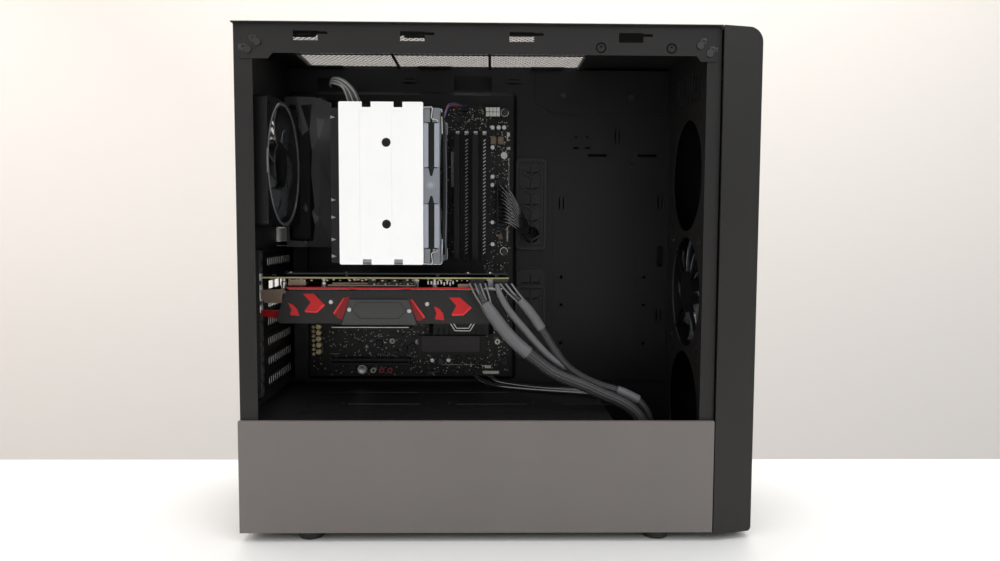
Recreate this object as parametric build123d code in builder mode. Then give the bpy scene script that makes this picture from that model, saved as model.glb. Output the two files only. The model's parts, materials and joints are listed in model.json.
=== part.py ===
from build123d import *

import math
import os

os.makedirs("parts", exist_ok=True)

# Desktop computer tower. Millimetres, +Z up, origin in the middle of the footprint at the height
# of the feet's undersides. +X is the front of the case, -X the rear with the sockets, and the open
# side, whose panel is off, faces -Y.

# ---------------------------------------------------------------- driving dimensions
length = 478.0  # rear edge to the front panel's face
width = 209.0  # skin to skin
height = 473.0  # feet to the top sheet
sheet = 1.0  # steel sheet of the chassis and its covers
foot_height = 8.0
foot_radius = 13.0
front_depth = 38.0  # front panel, joint to face
front_taper = 9.0  # each side of the front panel draws in by this
basement_height = 105.0  # floor underside to the power supply cover's top
frame_recess = 4.5  # side frame sits this far inside the skin
post_width = 16.5
rail_height = 26.0
tray_depth = 82.0  # motherboard tray face, distance from the middle plane
tray_step = 5.0  # raised area that carries the board
board_length = 243.84
board_height = 304.8
board_thickness = 1.6
standoff_height = 5.85
fan_size = 120.0
fan_depth = 25.0
fan_hole_spacing = 105.0
fan_hole_radius = 2.2
slot_pitch = 20.32
slot_count = 7
cooler_height = 157.5  # board face to the cooler's cover
card_length = 243.5
card_height = 102.5
supply_length = 150.0
supply_width = 150.0
supply_height = 86.0
drive_spacing_x = 95.25
drive_spacing_z = 44.45
clearance = 0.3  # between pieces that move or slip past each other
running_fit = 0.05  # radial, shaft in its bush
shaft_radius = 1.5
screw_radius = 1.5
head_radius = 3.0
head_height = 1.8

# ---------------------------------------------------------------- planes of the case
rear = -length / 2
front = length / 2
skin = width / 2
joint = front - front_depth
chassis_rear = rear + 1.0
wall_rear = chassis_rear + sheet  # inner face of the rear wall
chassis_front = joint - 1.0
front_wall = chassis_front - 4.0  # inner face of the front wall
front_wall_out = front_wall + sheet  # its face towards the front panel
floor_top = foot_height + sheet
cover_top = foot_height + basement_height
frame_y = skin - frame_recess  # outer face of the side frames
top_under = height - sheet
post_inner_rear = chassis_rear + post_width
post_inner_front = chassis_front - 13.0
rail_bottom = top_under - rail_height
board_face = tray_depth - tray_step - standoff_height - board_thickness  # component side
board_back = board_face + board_thickness
board_front = 15.6
board_rear = board_front - board_length
board_top = 426.5
board_bottom = board_top - board_height
slot_z = [board_top - 170.9 - slot_pitch * k for k in range(slot_count)]  # bracket centres
card_z = slot_z[1] + 6.8  # top face of the graphics card's board


def block(x, y, z, mode=Mode.ADD):
    """A box between two limits on each axis, in the active part."""
    with Locations(((x[0] + x[1]) / 2, (y[0] + y[1]) / 2, (z[0] + z[1]) / 2)):
        Box(abs(x[1] - x[0]), abs(y[1] - y[0]), abs(z[1] - z[0]), mode=mode)


def across(y):
    """The plane at depth y whose normal faces the open side: drawn in x and z."""
    return Plane.XZ.offset(-y)


def along(x):
    """The plane at x whose normal faces the front: drawn in y and z."""
    return Plane.YZ.offset(x)


def save(part, label):
    """Name a finished piece and write it."""
    part.part.label = label
    export_step(part.part, f"parts/{label}.step")


# ---------------------------------------------------------------- floor, feet and dust filter slot
filter_half = 66.0
supply_rear = wall_rear
supply_front = supply_rear + supply_length
supply_mid = (supply_rear + supply_front) / 2
supply_bottom = floor_top + 3.0
supply_top = supply_bottom + supply_height
supply_y = supply_width / 2

with BuildPart() as floor_pan:
    block((wall_rear, front_wall), (-skin + sheet, skin - sheet - clearance), (foot_height, floor_top))
    with BuildSketch(Plane.XY.offset(foot_height)):
        with Locations((supply_mid, 0)):
            with GridLocations(12, 0, 10, 1):
                SlotOverall(110, 7, rotation=90)
    extrude(amount=sheet, mode=Mode.SUBTRACT)
    for side in (-1, 1):
        rail_y = sorted((side * (filter_half + 1), side * (filter_half + 2)))
        lip_y = sorted((side * (filter_half - 3), side * (filter_half + 2)))
        block((wall_rear, supply_front), rail_y, (foot_height - 3, foot_height))
        block((wall_rear, supply_front), lip_y, (foot_height - 3.6, foot_height - 3))
    for x in (supply_rear + 12, supply_front - 12):
        for side in (-1, 1):
            pad_y = sorted((side * (supply_y - 4), side * (supply_y - 14)))
            block((x - 8, x + 8), pad_y, (floor_top, supply_bottom))
save(floor_pan, "floor_pan")

feet_x = (-176.0, 150.0)
feet_y = 88.0
with BuildPart() as feet:
    for x in feet_x:
        for y in (-feet_y, feet_y):
            with BuildSketch(Plane.XY):
                with Locations((x, y)):
                    Circle(foot_radius - 1.5)
            with BuildSketch(Plane.XY.offset(foot_height)):
                with Locations((x, y)):
                    Circle(foot_radius)
            loft()
save(feet, "feet")

with BuildPart() as psu_dust_filter:
    filter_y = (-filter_half, filter_half)
    filter_x = (chassis_rear, supply_front - 10)
    block(filter_x, filter_y, (foot_height - 2.6, foot_height - clearance))
    for x in (chassis_rear + 41, chassis_rear + 89):
        for y in (-30.0, 30.0):
            block((x - 19, x + 19), (y - 24, y + 24), (foot_height - 1.2, foot_height), mode=Mode.SUBTRACT)
save(psu_dust_filter, "psu_dust_filter")

# ---------------------------------------------------------------- rear wall
exhaust_y = -28.5
exhaust_z = 352.0
io_y = (31.0, 75.45)
io_z = (board_top - 156.5, board_top + 2.25)
slot_wall = chassis_rear + 4.0  # slot covers sit in a pocket this much further in
slot_y = (-36.0, 80.0)
tab_pocket_y = slot_y[0] - 10.0  # the pocket's edge, past the tabs and their screws
slot_pocket_z = (slot_z[-1] - 12.0, slot_z[0] + 12.0)
supply_window_y = supply_y - 6
supply_window_z = (supply_bottom + 5, supply_top - 5)
supply_screws = [(y, z) for y in (-69.0, 69.0) for z in (supply_bottom + 6, supply_top - 6)]
supply_screws[0] = (-69.0, supply_bottom + 16)

with BuildPart() as rear_panel:
    block((chassis_rear, wall_rear), (-frame_y, frame_y), (floor_top, top_under))
    for side in (-1, 1):
        flange_y = sorted((side * frame_y, side * (frame_y - sheet)))
        block((chassis_rear, post_inner_rear), flange_y, (floor_top, top_under))
    with BuildSketch(along(chassis_rear)):
        with Locations((exhaust_y, exhaust_z)):
            with GridLocations(12, 12, 9, 9):
                RegularPolygon(5.6, 6)
        with Locations((exhaust_y, exhaust_z)):
            Circle(fan_size / 2 - 3, mode=Mode.INTERSECT)
    extrude(amount=sheet, mode=Mode.SUBTRACT)
    with BuildSketch(along(chassis_rear)):
        with Locations((exhaust_y, exhaust_z)):
            with GridLocations(fan_hole_spacing, fan_hole_spacing, 2, 2):
                Circle(fan_hole_radius)
        with Locations((-68, 421)):
            with GridLocations(7, 7, 7, 4):
                SlotOverall(5.4, 3.6, rotation=90)
        for y, z in supply_screws:
            with Locations((y, z)):
                Circle(fan_hole_radius)
    extrude(amount=sheet, mode=Mode.SUBTRACT)
    block((chassis_rear, wall_rear), io_y, io_z, mode=Mode.SUBTRACT)
    block(
        (chassis_rear, wall_rear),
        (-supply_window_y, supply_window_y),
        supply_window_z,
        mode=Mode.SUBTRACT,
    )
    block((chassis_rear, wall_rear), (tab_pocket_y, slot_y[1]), slot_pocket_z, mode=Mode.SUBTRACT)
    block((slot_wall - sheet, slot_wall), slot_y, slot_pocket_z)
    for z in slot_z:
        window_z = (z - slot_pitch * 0.37, z + slot_pitch * 0.37)
        block((slot_wall - sheet, slot_wall), (slot_y[0] + 8, slot_y[1] - 3), window_z, mode=Mode.SUBTRACT)
    block((chassis_rear, slot_wall), (slot_y[0], slot_y[0] + sheet), slot_pocket_z)
    block((chassis_rear, slot_wall), (slot_y[1] - sheet, slot_y[1]), slot_pocket_z)
    block((chassis_rear, slot_wall), (tab_pocket_y, tab_pocket_y + sheet), slot_pocket_z)
    for z in slot_pocket_z:
        block((chassis_rear, slot_wall), (tab_pocket_y, slot_y[1]), (z - sheet / 2, z + sheet / 2))
save(rear_panel, "rear_panel")

# ---------------------------------------------------------------- expansion slot covers
bracket_width = 18.4
bracket_y = (slot_y[0] - sheet, slot_y[1] - sheet - 1)
tab_x = (chassis_rear, slot_wall + sheet)
vent_slot = (9.0, 4.0)
open_slots = [0, 3, 4, 5, 6]
with BuildPart() as slot_covers:
    for k in open_slots:
        cover_z = (slot_z[k] - bracket_width / 2, slot_z[k] + bracket_width / 2)
        block((slot_wall, slot_wall + sheet), bracket_y, cover_z)
        block(tab_x, (bracket_y[0], slot_y[0]), cover_z)
        with BuildSketch(along(slot_wall)):
            with Locations((24, slot_z[k])):
                with GridLocations(7.6, 0, 12, 1):
                    SlotOverall(vent_slot[0], vent_slot[1], rotation=90)
        extrude(amount=sheet, mode=Mode.SUBTRACT)
save(slot_covers, "slot_covers")

# ---------------------------------------------------------------- front wall
fan_positions = (345.0, 225.0, 105.0)
intake_z = fan_positions[1]
with BuildPart() as front_wall_part:
    block((front_wall, front_wall_out), (-frame_y, frame_y), (foot_height, top_under))
    for side in (-1, 1):
        flange_y = sorted((side * frame_y, side * (frame_y - sheet)))
        block((post_inner_front, chassis_front), flange_y, (floor_top, top_under))
    with BuildSketch(along(front_wall)):
        for z in fan_positions:
            with Locations((0, z)):
                Circle(fan_size / 2 - 3)
                with GridLocations(fan_hole_spacing, fan_hole_spacing, 2, 2):
                    Circle(fan_hole_radius)
        with Locations((0, 434)):
            with GridLocations(9, 0, 11, 1):
                SlotOverall(32, 5, rotation=90)
        with Locations((0, 247.5)):
            with GridLocations(172, 365, 2, 2):
                Circle(3 + clearance)
    extrude(amount=sheet, mode=Mode.SUBTRACT)
save(front_wall_part, "front_wall")

# ---------------------------------------------------------------- power supply cover
cover_end = 107.0
near_slots = ((-192.0, -115.0), (-95.5, -17.0), (4.4, 81.8))
far_slots = ((-190.0, -113.0), (-93.0, -15.0), (6.2, 82.0))
with BuildPart() as psu_shroud_top:
    block((post_inner_rear, cover_end), (-frame_y, tray_depth), (cover_top - sheet, cover_top))
    block((wall_rear, post_inner_rear), (-frame_y + sheet, tray_depth), (cover_top - sheet, cover_top))
    block((cover_end - sheet, cover_end), (-frame_y, tray_depth), (cover_top - 12, cover_top))
    with BuildSketch(Plane.XY.offset(cover_top - sheet)):
        for row_y, row in ((-68.0, near_slots), (22.0, far_slots)):
            for start, end in row:
                with Locations(((start + end) / 2, row_y)):
                    SlotOverall(end - start, 4.5)
                for x in (start + 5, end - 5):
                    with Locations((x, row_y + 19)):
                        Circle(1.6)
    extrude(amount=sheet, mode=Mode.SUBTRACT)
save(psu_shroud_top, "psu_shroud_top")

with BuildPart() as shroud_side_cover:
    block((rear, joint - 1), (-skin, -skin + sheet), (foot_height, cover_top))
    block((rear, joint - 1), (-skin + sheet, -frame_y - 0.2), (cover_top - sheet, cover_top))
    edge = shroud_side_cover.edges().filter_by(Axis.X).group_by(Axis.Z)[-1].sort_by(Axis.Y)[0]
    fillet(edge, 0.9)
save(shroud_side_cover, "shroud_side_cover")

# ---------------------------------------------------------------- top sheet, rails and filter
pan_x = (-216.0, 98.0)
pan_y = (-80.0, 98.0)
pan_floor = height - 4.0
rail_x = (chassis_rear + 6, post_inner_front + 8)
gusset_drop = 6.0
rail_slots = (-173.6, -78.3, 19.6, 117.8)
bays_along, bays_across = 3, 2
bay_rib = 3.0
bay_length = (pan_x[1] - pan_x[0] - bay_rib) / bays_along - 2 * bay_rib
bay_width = (pan_y[1] - pan_y[0] - bay_rib) / bays_across - 2 * bay_rib
with BuildPart() as top_frame:
    block((rear, chassis_front), (-skin, skin), (top_under, height))
    block(pan_x, pan_y, (top_under, height), mode=Mode.SUBTRACT)
    pan_out_x = (pan_x[0] - sheet, pan_x[1] + sheet)
    pan_out_y = (pan_y[0] - sheet, pan_y[1] + sheet)
    block(pan_out_x, pan_out_y, (pan_floor - sheet, top_under))
    block(pan_x, pan_y, (pan_floor, height), mode=Mode.SUBTRACT)
    with BuildSketch(Plane.XY.offset(pan_floor - sheet)):
        with Locations(((pan_x[0] + pan_x[1]) / 2, (pan_y[0] + pan_y[1]) / 2)):
            with GridLocations(bay_length + bay_rib, bay_width + bay_rib, bays_along, bays_across):
                Rectangle(bay_length, bay_width)
    extrude(amount=sheet, mode=Mode.SUBTRACT)
    for side in (-1, 1):
        with BuildSketch(across(side * frame_y if side < 0 else frame_y + sheet)):
            with BuildLine():
                Polyline(
                    (rail_x[0], top_under),
                    (rail_x[0], rail_bottom - gusset_drop + 1),
                    (rail_x[0] + 25, rail_bottom - gusset_drop + 1),
                    (rail_x[0] + 29, rail_bottom),
                    (rail_x[1] - 18, rail_bottom),
                    (rail_x[1] - 14, rail_bottom - gusset_drop + 1),
                    (rail_x[1], rail_bottom - gusset_drop + 1),
                    (rail_x[1], top_under),
                    close=True,
                )
            make_face()
            for x in rail_slots:
                with Locations((x, top_under - 10.5)):
                    Rectangle(22, 8.5, mode=Mode.SUBTRACT)
                with Locations((x + 15, top_under - 8.2)):
                    Rectangle(9, 2.5, mode=Mode.SUBTRACT)
            for x in (90.8, 154.4):
                with Locations((x, top_under - 17.6)):
                    Circle(1.7, mode=Mode.SUBTRACT)
        extrude(amount=sheet)
save(top_frame, "top_frame")

with BuildPart() as top_dust_filter:
    frame_x = (pan_x[0] + clearance, pan_x[1] - clearance)
    frame_y2 = (pan_y[0] + clearance, pan_y[1] - clearance)
    block(frame_x, frame_y2, (pan_floor + clearance, height))
    bay = (frame_x[1] - frame_x[0]) / 3
    for k in range(3):
        for row in (0, 1):
            bay_x = (frame_x[0] + bay * k + 5, frame_x[0] + bay * (k + 1) - 5)
            half = (frame_y2[1] - frame_y2[0]) / 2
            bay_y = (frame_y2[0] + half * row + 5, frame_y2[0] + half * (row + 1) - 5)
            block(bay_x, bay_y, (pan_floor + 0.9, height), mode=Mode.SUBTRACT)
save(top_dust_filter, "top_dust_filter")

# ---------------------------------------------------------------- motherboard tray and its bracket
drive_x = 74.2
drive_z = 158.2
grommets = ((39.2, 317.4, 32.0, 103.6), (39.2, 192.0, 32.0, 102.3))  # x, z, width, height
grommet_lip = 3.0
bridges_upright = ((73.6, 318.2), (136.3, 394.7), (186.6, 319.6), (186.8, 190.5))
bridges_flat = ((-97.8, 455.0), (19.0, 455.0))
with BuildPart() as motherboard_tray:
    block((wall_rear, front_wall), (tray_depth, tray_depth + sheet), (floor_top, pan_floor - sheet))
    with BuildSketch(across(tray_depth)):
        with Locations(((-234 + 22.5) / 2, (116 + 443) / 2)):
            RectangleRounded(22.5 + 234, 443 - 116, 6)
    extrude(amount=tray_step, taper=40)
    with BuildSketch(across(tray_depth + sheet)):
        with Locations(((-234 + 22.5) / 2, (116 + 443) / 2)):
            RectangleRounded(22.5 + 234 - 2, 443 - 116 - 2, 5)
    extrude(amount=tray_step, taper=40, mode=Mode.SUBTRACT)
    for x in (drive_x - 1, drive_x + drive_spacing_x - 1):
        block((x - 9, x + 9), (tray_depth - 0.6, tray_depth), (149, 348))
    with BuildSketch(across(tray_depth + sheet)):
        for x, z, wide, high in grommets:
            with Locations((x, z)):
                RectangleRounded(wide - 2 * grommet_lip, high - 2 * grommet_lip, 5)
        for x in (drive_x, drive_x + drive_spacing_x):
            for z in (drive_z, drive_z + drive_spacing_z, drive_z + 76.2):
                with Locations((x, z)):
                    Circle(1.8)
        with Locations((-27.5, 453)):
            Rectangle(43, 15)
        with Locations((-190, 452)):
            Rectangle(24, 12)
        with Locations((-122, 330)):
            RectangleRounded(110, 120, 8)
        for x, z in bridges_upright:
            with Locations((x, z)):
                Rectangle(6, 13)
        for x, z in bridges_flat:
            with Locations((x, z)):
                Rectangle(13, 6)
        with Locations((114.0, 373.2), (171.0, 373.2)):
            Rectangle(21, 3)
        with Locations((89.6, 381.4), (102.8, 381.4)):
            SlotOverall(6, 2.4)
        with Locations((89.4, 393.6), (102.7, 393.7), (153.9, 364)):
            Circle(1.3)
        with Locations((187.8, 258.6)):
            SlotOverall(25, 7, rotation=90)
    extrude(amount=tray_step + 2 * sheet, mode=Mode.SUBTRACT)
    for x, z in bridges_upright:
        block((x - 1.6, x + 1.6), (tray_depth - 1.4, tray_depth), (z - 9, z + 9))
    for x, z in bridges_flat:
        block((x - 9, x + 9), (tray_depth - 1.4, tray_depth), (z - 1.6, z + 1.6))
    block((cover_end + 1, front_wall), (tray_depth - 3, tray_depth), (cover_top + 2, cover_top + 3))
save(motherboard_tray, "motherboard_tray")

bracket_x = (43.5, front_wall - 1.5)
bracket_z = (420.0, 465.0)
bracket_screws = ((74.7, 439.7), (151.4, 438.0))
with BuildPart() as tray_bracket:
    with BuildSketch(across(tray_depth)):
        with BuildLine():
            Polyline(
                (bracket_x[0], bracket_z[1]),
                (bracket_x[0], bracket_z[0] + 13),
                (bracket_x[0] + 20, bracket_z[0]),
                (bracket_x[1], bracket_z[0]),
                (bracket_x[1], bracket_z[1]),
                close=True,
            )
        make_face()
        with Locations(*bracket_screws):
            Circle(screw_radius + 0.1, mode=Mode.SUBTRACT)
    extrude(amount=1.4)
save(tray_bracket, "tray_bracket")

lead_hole = (39.2, 283.0, 9.5)  # x, z and radius where the board's main lead dives through
with BuildPart() as cable_grommets:
    for x, z, wide, high in grommets:
        hole = (wide - 2 * grommet_lip, high - 2 * grommet_lip)
        with BuildSketch(across(tray_depth)):
            with Locations((x, z)):
                RectangleRounded(wide, high, 7)
                RectangleRounded(hole[0] - 4, hole[1] - 4, 4, mode=Mode.SUBTRACT)
        extrude(amount=1.5)
        with BuildSketch(across(tray_depth + sheet)):
            with Locations((x, z)):
                RectangleRounded(hole[0] - 0.2, hole[1] - 0.2, 4.9)
                for row in (-36, -18, 0, 18, 36):
                    with Locations((0, row)):
                        Rectangle(1, 15, mode=Mode.SUBTRACT)
                        with GridLocations(12, 0, 2, 1):
                            Rectangle(9, 1, mode=Mode.SUBTRACT)
        extrude(amount=sheet)
        with BuildSketch(across(tray_depth + sheet + 1.5)):
            with Locations((x, z)):
                RectangleRounded(wide - 1, high - 1, 7)
                RectangleRounded(hole[0] - 4, hole[1] - 4, 4, mode=Mode.SUBTRACT)
        extrude(amount=1.5)
    with BuildSketch(across(tray_depth + 3)):
        with Locations((lead_hole[0], lead_hole[1])):
            Circle(lead_hole[2])
    extrude(amount=4, mode=Mode.SUBTRACT)
save(cable_grommets, "cable_grommets")

# ---------------------------------------------------------------- right side panel
with BuildPart() as right_side_panel:
    panel_y = (skin - sheet, skin)
    panel_z = (foot_height + 0.5, top_under - clearance)
    block((rear, chassis_front), panel_y, panel_z)
    for z in (panel_z[1] - sheet, floor_top + 0.6):
        block((rear + 4, chassis_front), (skin - sheet - 2, skin - sheet), (z, z + sheet))
    block((rear, chassis_rear - 0.2), (frame_y - 10, skin - sheet), (20, 455))
    with BuildSketch(across(skin - 0.4)):
        with Locations((rear + 34, 240)):
            SlotOverall(64, 16, rotation=90)
    extrude(amount=-1, mode=Mode.SUBTRACT)
save(right_side_panel, "right_side_panel")

# ---------------------------------------------------------------- fans
# A fan is a frame with a spider, a motor plate and a bush, and a rotor: a cup with blades and a
# shaft that runs in the bush. Its plane stands on the spider's side, with z towards the blades.
spider_depth = 3.0
bush_radius = 4.0
cup_wall = 1.6


def spider(plane, opening, plate, bush_length):
    """Motor plate, four arms and the bush, added to the active part."""
    with BuildSketch(plane) as arms:
        Circle(plate)
        with PolarLocations(0, 4, start_angle=45):
            with Locations(((opening + plate) / 2, 0)):
                Rectangle(opening - plate + 3, 4)
    extrude(arms.sketch, amount=spider_depth)
    with BuildSketch(plane) as bush:
        Circle(bush_radius)
    extrude(bush.sketch, amount=bush_length)
    with BuildSketch(plane.offset(spider_depth / 2)) as bore:
        Circle(shaft_radius + running_fit)
    extrude(bore.sketch, amount=bush_length, mode=Mode.SUBTRACT)


def rotor(label, plane, depth, hub, tip, blades, chord, pitch):
    """Cup, shaft and blades. depth runs from the spider's plane to the cup's closed end."""
    with BuildPart() as part:
        with BuildSketch(plane.offset(spider_depth + clearance)):
            Circle(hub)
        extrude(amount=depth - spider_depth - clearance)
        with BuildSketch(plane.offset(spider_depth + clearance)):
            Circle(hub - cup_wall)
        extrude(amount=depth - spider_depth - clearance - cup_wall, mode=Mode.SUBTRACT)
        with BuildSketch(plane.offset(spider_depth / 2 + clearance)):
            Circle(shaft_radius)
        extrude(amount=depth - spider_depth / 2 - clearance - cup_wall / 2)
        middle = (depth + spider_depth) / 2
        for k in range(blades):
            turn = math.tau * k / blades
            radial = plane.x_dir * math.cos(turn) + plane.y_dir * math.sin(turn)
            tangent = plane.y_dir * math.cos(turn) - plane.x_dir * math.sin(turn)
            start = plane.origin + plane.z_dir * middle + radial * (hub - 0.6)
            root = Plane(origin=start, x_dir=tangent, z_dir=radial)
            with BuildSketch(root):
                Rectangle(chord, 1.4, rotation=pitch)
            extrude(amount=tip - hub + 0.6)
    save(part, label)


def fan_frame(label, plane, wide, high, depth, opening, hub, holes):
    """Square frame with rounded corners, round duct, corner holes and spider."""
    with BuildPart() as part:
        with BuildSketch(plane):
            RectangleRounded(wide, high, 5)
            Circle(opening, mode=Mode.SUBTRACT)
            with GridLocations(holes[0], holes[1], 2, 2):
                Circle(fan_hole_radius, mode=Mode.SUBTRACT)
        extrude(amount=depth)
        spider(plane, opening, hub - cup_wall - 2, depth / 2)
    save(part, label)


duct = fan_size / 2 - 1.5
exhaust_plane = Plane(origin=(wall_rear, exhaust_y, exhaust_z), x_dir=(0, 1, 0), z_dir=(1, 0, 0))
intake_plane = Plane(origin=(front_wall_out, 0, intake_z), x_dir=(0, 1, 0), z_dir=(1, 0, 0))
square_holes = (fan_hole_spacing, fan_hole_spacing)
for name, plane in (("exhaust_fan", exhaust_plane), ("intake_fan", intake_plane)):
    fan_frame(f"{name}_frame", plane, fan_size, fan_size, fan_depth, duct, 25, square_holes)
    rotor(f"{name}_rotor", plane, fan_depth - 1.5, 25, duct - 2.2, 7, 24, 50)

# ---------------------------------------------------------------- motherboard
board_x = (board_rear, board_front)
board_z = (board_bottom, board_top)
hole_x = (board_front - 6.4, board_front - 78.77, board_front - 233.7)
hole_z = (board_top - 6.4, board_top - 163.9, board_top - 288.3)
board_holes = [(x, z) for x in hole_x for z in hole_z]
with BuildPart() as motherboard_pcb:
    block(board_x, (board_face, board_back), board_z)
    with BuildSketch(across(board_back)):
        with Locations(*board_holes):
            Circle(screw_radius + 0.4)
    extrude(amount=board_thickness, mode=Mode.SUBTRACT)
save(motherboard_pcb, "motherboard_pcb")

with BuildPart() as board_standoffs:
    with BuildSketch(across(tray_depth - tray_step)):
        with Locations(*board_holes):
            RegularPolygon(3.2, 6)
            Circle(screw_radius + 0.1, mode=Mode.SUBTRACT)
    extrude(amount=standoff_height)
save(board_standoffs, "board_standoffs")

# Rear sockets: bottom height, top height and depth off the board of each metal shell.
sockets = ((275, 290, 30), (294, 309, 30), (313, 329, 28), (334, 349, 24), (353, 368, 26))
sockets += ((372, 388, 30), (392, 406, 26), (410, 424, 26))
socket_reach = 6.2
socket_x = (rear + 0.5, board_x[0] + socket_reach)
with BuildPart() as io_ports:
    for low, high, deep in sockets:
        block(socket_x, (board_face - deep, board_face), (low, high))
        block((rear, rear + 14), (board_face - deep + 2, board_face - 3), (low + 2, high - 2), Mode.SUBTRACT)
save(io_ports, "io_ports")

with BuildPart() as io_shield:
    shield_y = (io_y[0] + 0.1, io_y[1] - 0.1)
    shield_x = (chassis_rear + 0.3, chassis_rear + 0.8)
    block(shield_x, shield_y, (io_z[0] + 0.1, io_z[1] - 0.1))
    for low, high, deep in sockets:
        hole_y = (board_face - deep - 0.2, board_face + 0.2)
        block(shield_x, hole_y, (low - 0.2, high + 0.2), mode=Mode.SUBTRACT)
save(io_shield, "io_shield")

armour_z = (269.0, 429.0)
armour_inner = chassis_rear + 21
with BuildPart() as io_armour:
    with BuildSketch(Plane.XY.offset(armour_z[0])):
        with BuildLine():
            Polyline(
                (armour_inner - 10, board_face - 0.2),
                (armour_inner - 10, board_face - 33),
                (armour_inner - 3, board_face - 36.5),
                (armour_inner + 16, board_face - 36.5),
                (armour_inner + 33, board_face - 24),
                (armour_inner + 38, board_face - 8),
                (armour_inner + 38, board_face - 0.2),
                close=True,
            )
        make_face()
    extrude(amount=armour_z[1] - armour_z[0])
    chamfer(io_armour.faces().sort_by(Axis.Y)[0].edges().filter_by(Axis.X), 9)
    hollow_z = (armour_z[0] + 4, armour_z[1] - 4)
    block((armour_inner - 11, armour_inner), (board_face - 31, board_face), hollow_z, Mode.SUBTRACT)
    audio_z = (board_bottom - 1, armour_z[0])
    block((armour_inner - 9, armour_inner + 6), (board_face - 11, board_face - 0.2), audio_z)
    for x, z in board_holes:
        if x < board_rear + 20:
            block((x - 5, x + 5), (board_face - 5, board_face), (z - 5, z + 5), Mode.SUBTRACT)
save(io_armour, "io_armour")

# Memory: four slots, two of them filled, each with a latch at its top end.
memory_x = (-43.9, -34.0, -24.0, -14.2)
filled = (0, 2)
memory_z = (257.5, 391.0)
memory_slot_top = 7.0
latch_pin_z = memory_z[1] + 3.5
latch_pin_y = board_face - 2.6
with BuildPart() as dimm_slots:
    for x in memory_x:
        slot_y_span = (board_face - memory_slot_top, board_face)
        block((x - 3.2, x + 3.2), slot_y_span, (memory_z[0] - 4, memory_z[1] + 1))
        key_y = (board_face - memory_slot_top, board_face - 2)
        block((x - 0.9, x + 0.9), key_y, (memory_z[0] - 0.3, memory_z[1] + 0.3), Mode.SUBTRACT)
        for side in (-1, 1):
            ear_x = sorted((x + side * 2.3, x + side * 3.2))
            block(ear_x, (board_face - 6, board_face), (memory_z[1] + 1, memory_z[1] + 6))
    with BuildSketch(Plane.YZ.offset(memory_x[0] - 4)):
        with Locations((latch_pin_y, latch_pin_z)):
            Circle(0.8 + running_fit)
    extrude(amount=memory_x[3] - memory_x[0] + 8, mode=Mode.SUBTRACT)
save(dimm_slots, "dimm_slots")

for k, x in enumerate(memory_x):
    with BuildPart() as latch:
        block((x - 2, x + 2), (board_face - 15, board_face - 1.6), (memory_z[1] + 2.2, memory_z[1] + 5.5))
        with BuildSketch(Plane.YZ.offset(x - 3)):
            with Locations((latch_pin_y, latch_pin_z)):
                Circle(0.8)
        extrude(amount=6)
        chamfer(latch.edges().filter_by(Axis.X).group_by(Axis.Y)[0], 1.2)
    save(latch, f"dimm_latch_{k + 1}")

with BuildPart() as ram_sticks:
    for k in filled:
        x = memory_x[k]
        block((x - 0.6, x + 0.6), (board_face - 31.5, board_face - 2.3), memory_z)
        spreader_y = (board_face - 33, board_face - memory_slot_top - 0.6)
        block((x - 3, x + 3), spreader_y, (memory_z[0] + 0.5, memory_z[1] - 0.5))
save(ram_sticks, "ram_sticks")

# Expansion sockets on the board: the card's own, and two more below it.
pcie_x = (-186.0, -97.0)
pcie_height = 11.0
pcie_rows = (card_z - 0.8, card_z - 0.8 - 3 * slot_pitch, card_z - 0.8 - 5 * slot_pitch)
with BuildPart() as pcie_slots:
    for z in pcie_rows:
        block(pcie_x, (board_face - pcie_height, board_face), (z - 3.7, z + 3.7))
        mouth = (board_face - pcie_height, board_face - 2.5)
        block((pcie_x[0] + 2, pcie_x[1] - 2), mouth, (z - 0.95, z + 0.95), mode=Mode.SUBTRACT)
save(pcie_slots, "pcie_slots")

with BuildPart() as chipset_heatsink:
    block((-76.0, -4.0), (board_face - 10, board_face), (171.0, 194.0))
    sink_front = chipset_heatsink.faces().sort_by(Axis.Y)[0]
    chamfer(sink_front.edges().filter_by(Axis.Z), 5)
    for x in range(-66, -12, 6):
        block((x, x + 2.5), (board_face - 10, board_face - 5), (171, 178), mode=Mode.SUBTRACT)
save(chipset_heatsink, "chipset_heatsink")

with BuildPart() as m2_drive:
    block((-88.4, -18.4), (board_face - 4, board_face - 3), (147.0, 169.0))
    block((-84.0, -22.0), (board_face - 5.6, board_face - 4), (148.0, 168.0))
save(m2_drive, "m2_drive")

main_socket = ((-1.0, 9.0), (292.0, 344.0))
eps_socket = ((-162.0, -142.0), (411.0, 422.5))
with BuildPart() as board_sockets:
    for x, z in (main_socket, eps_socket):
        block(x, (board_face - 12, board_face), z)
        inner_x = (x[0] + 1.2, x[1] - 1.2)
        inner_z = (z[0] + 1.2, z[1] - 1.2)
        block(inner_x, (board_face - 12, board_face - 3), inner_z, mode=Mode.SUBTRACT)
    block((-11.0, 1.0), (board_face - 9, board_face), (415.0, 424.0))
    block((-18.0, -12.0), (board_face - 5, board_face), (147.0, 169.0))
    block((-128.0, -82.0), (board_face - 7.5, board_face), (306.0, 354.0))
save(board_sockets, "board_sockets")

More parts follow.
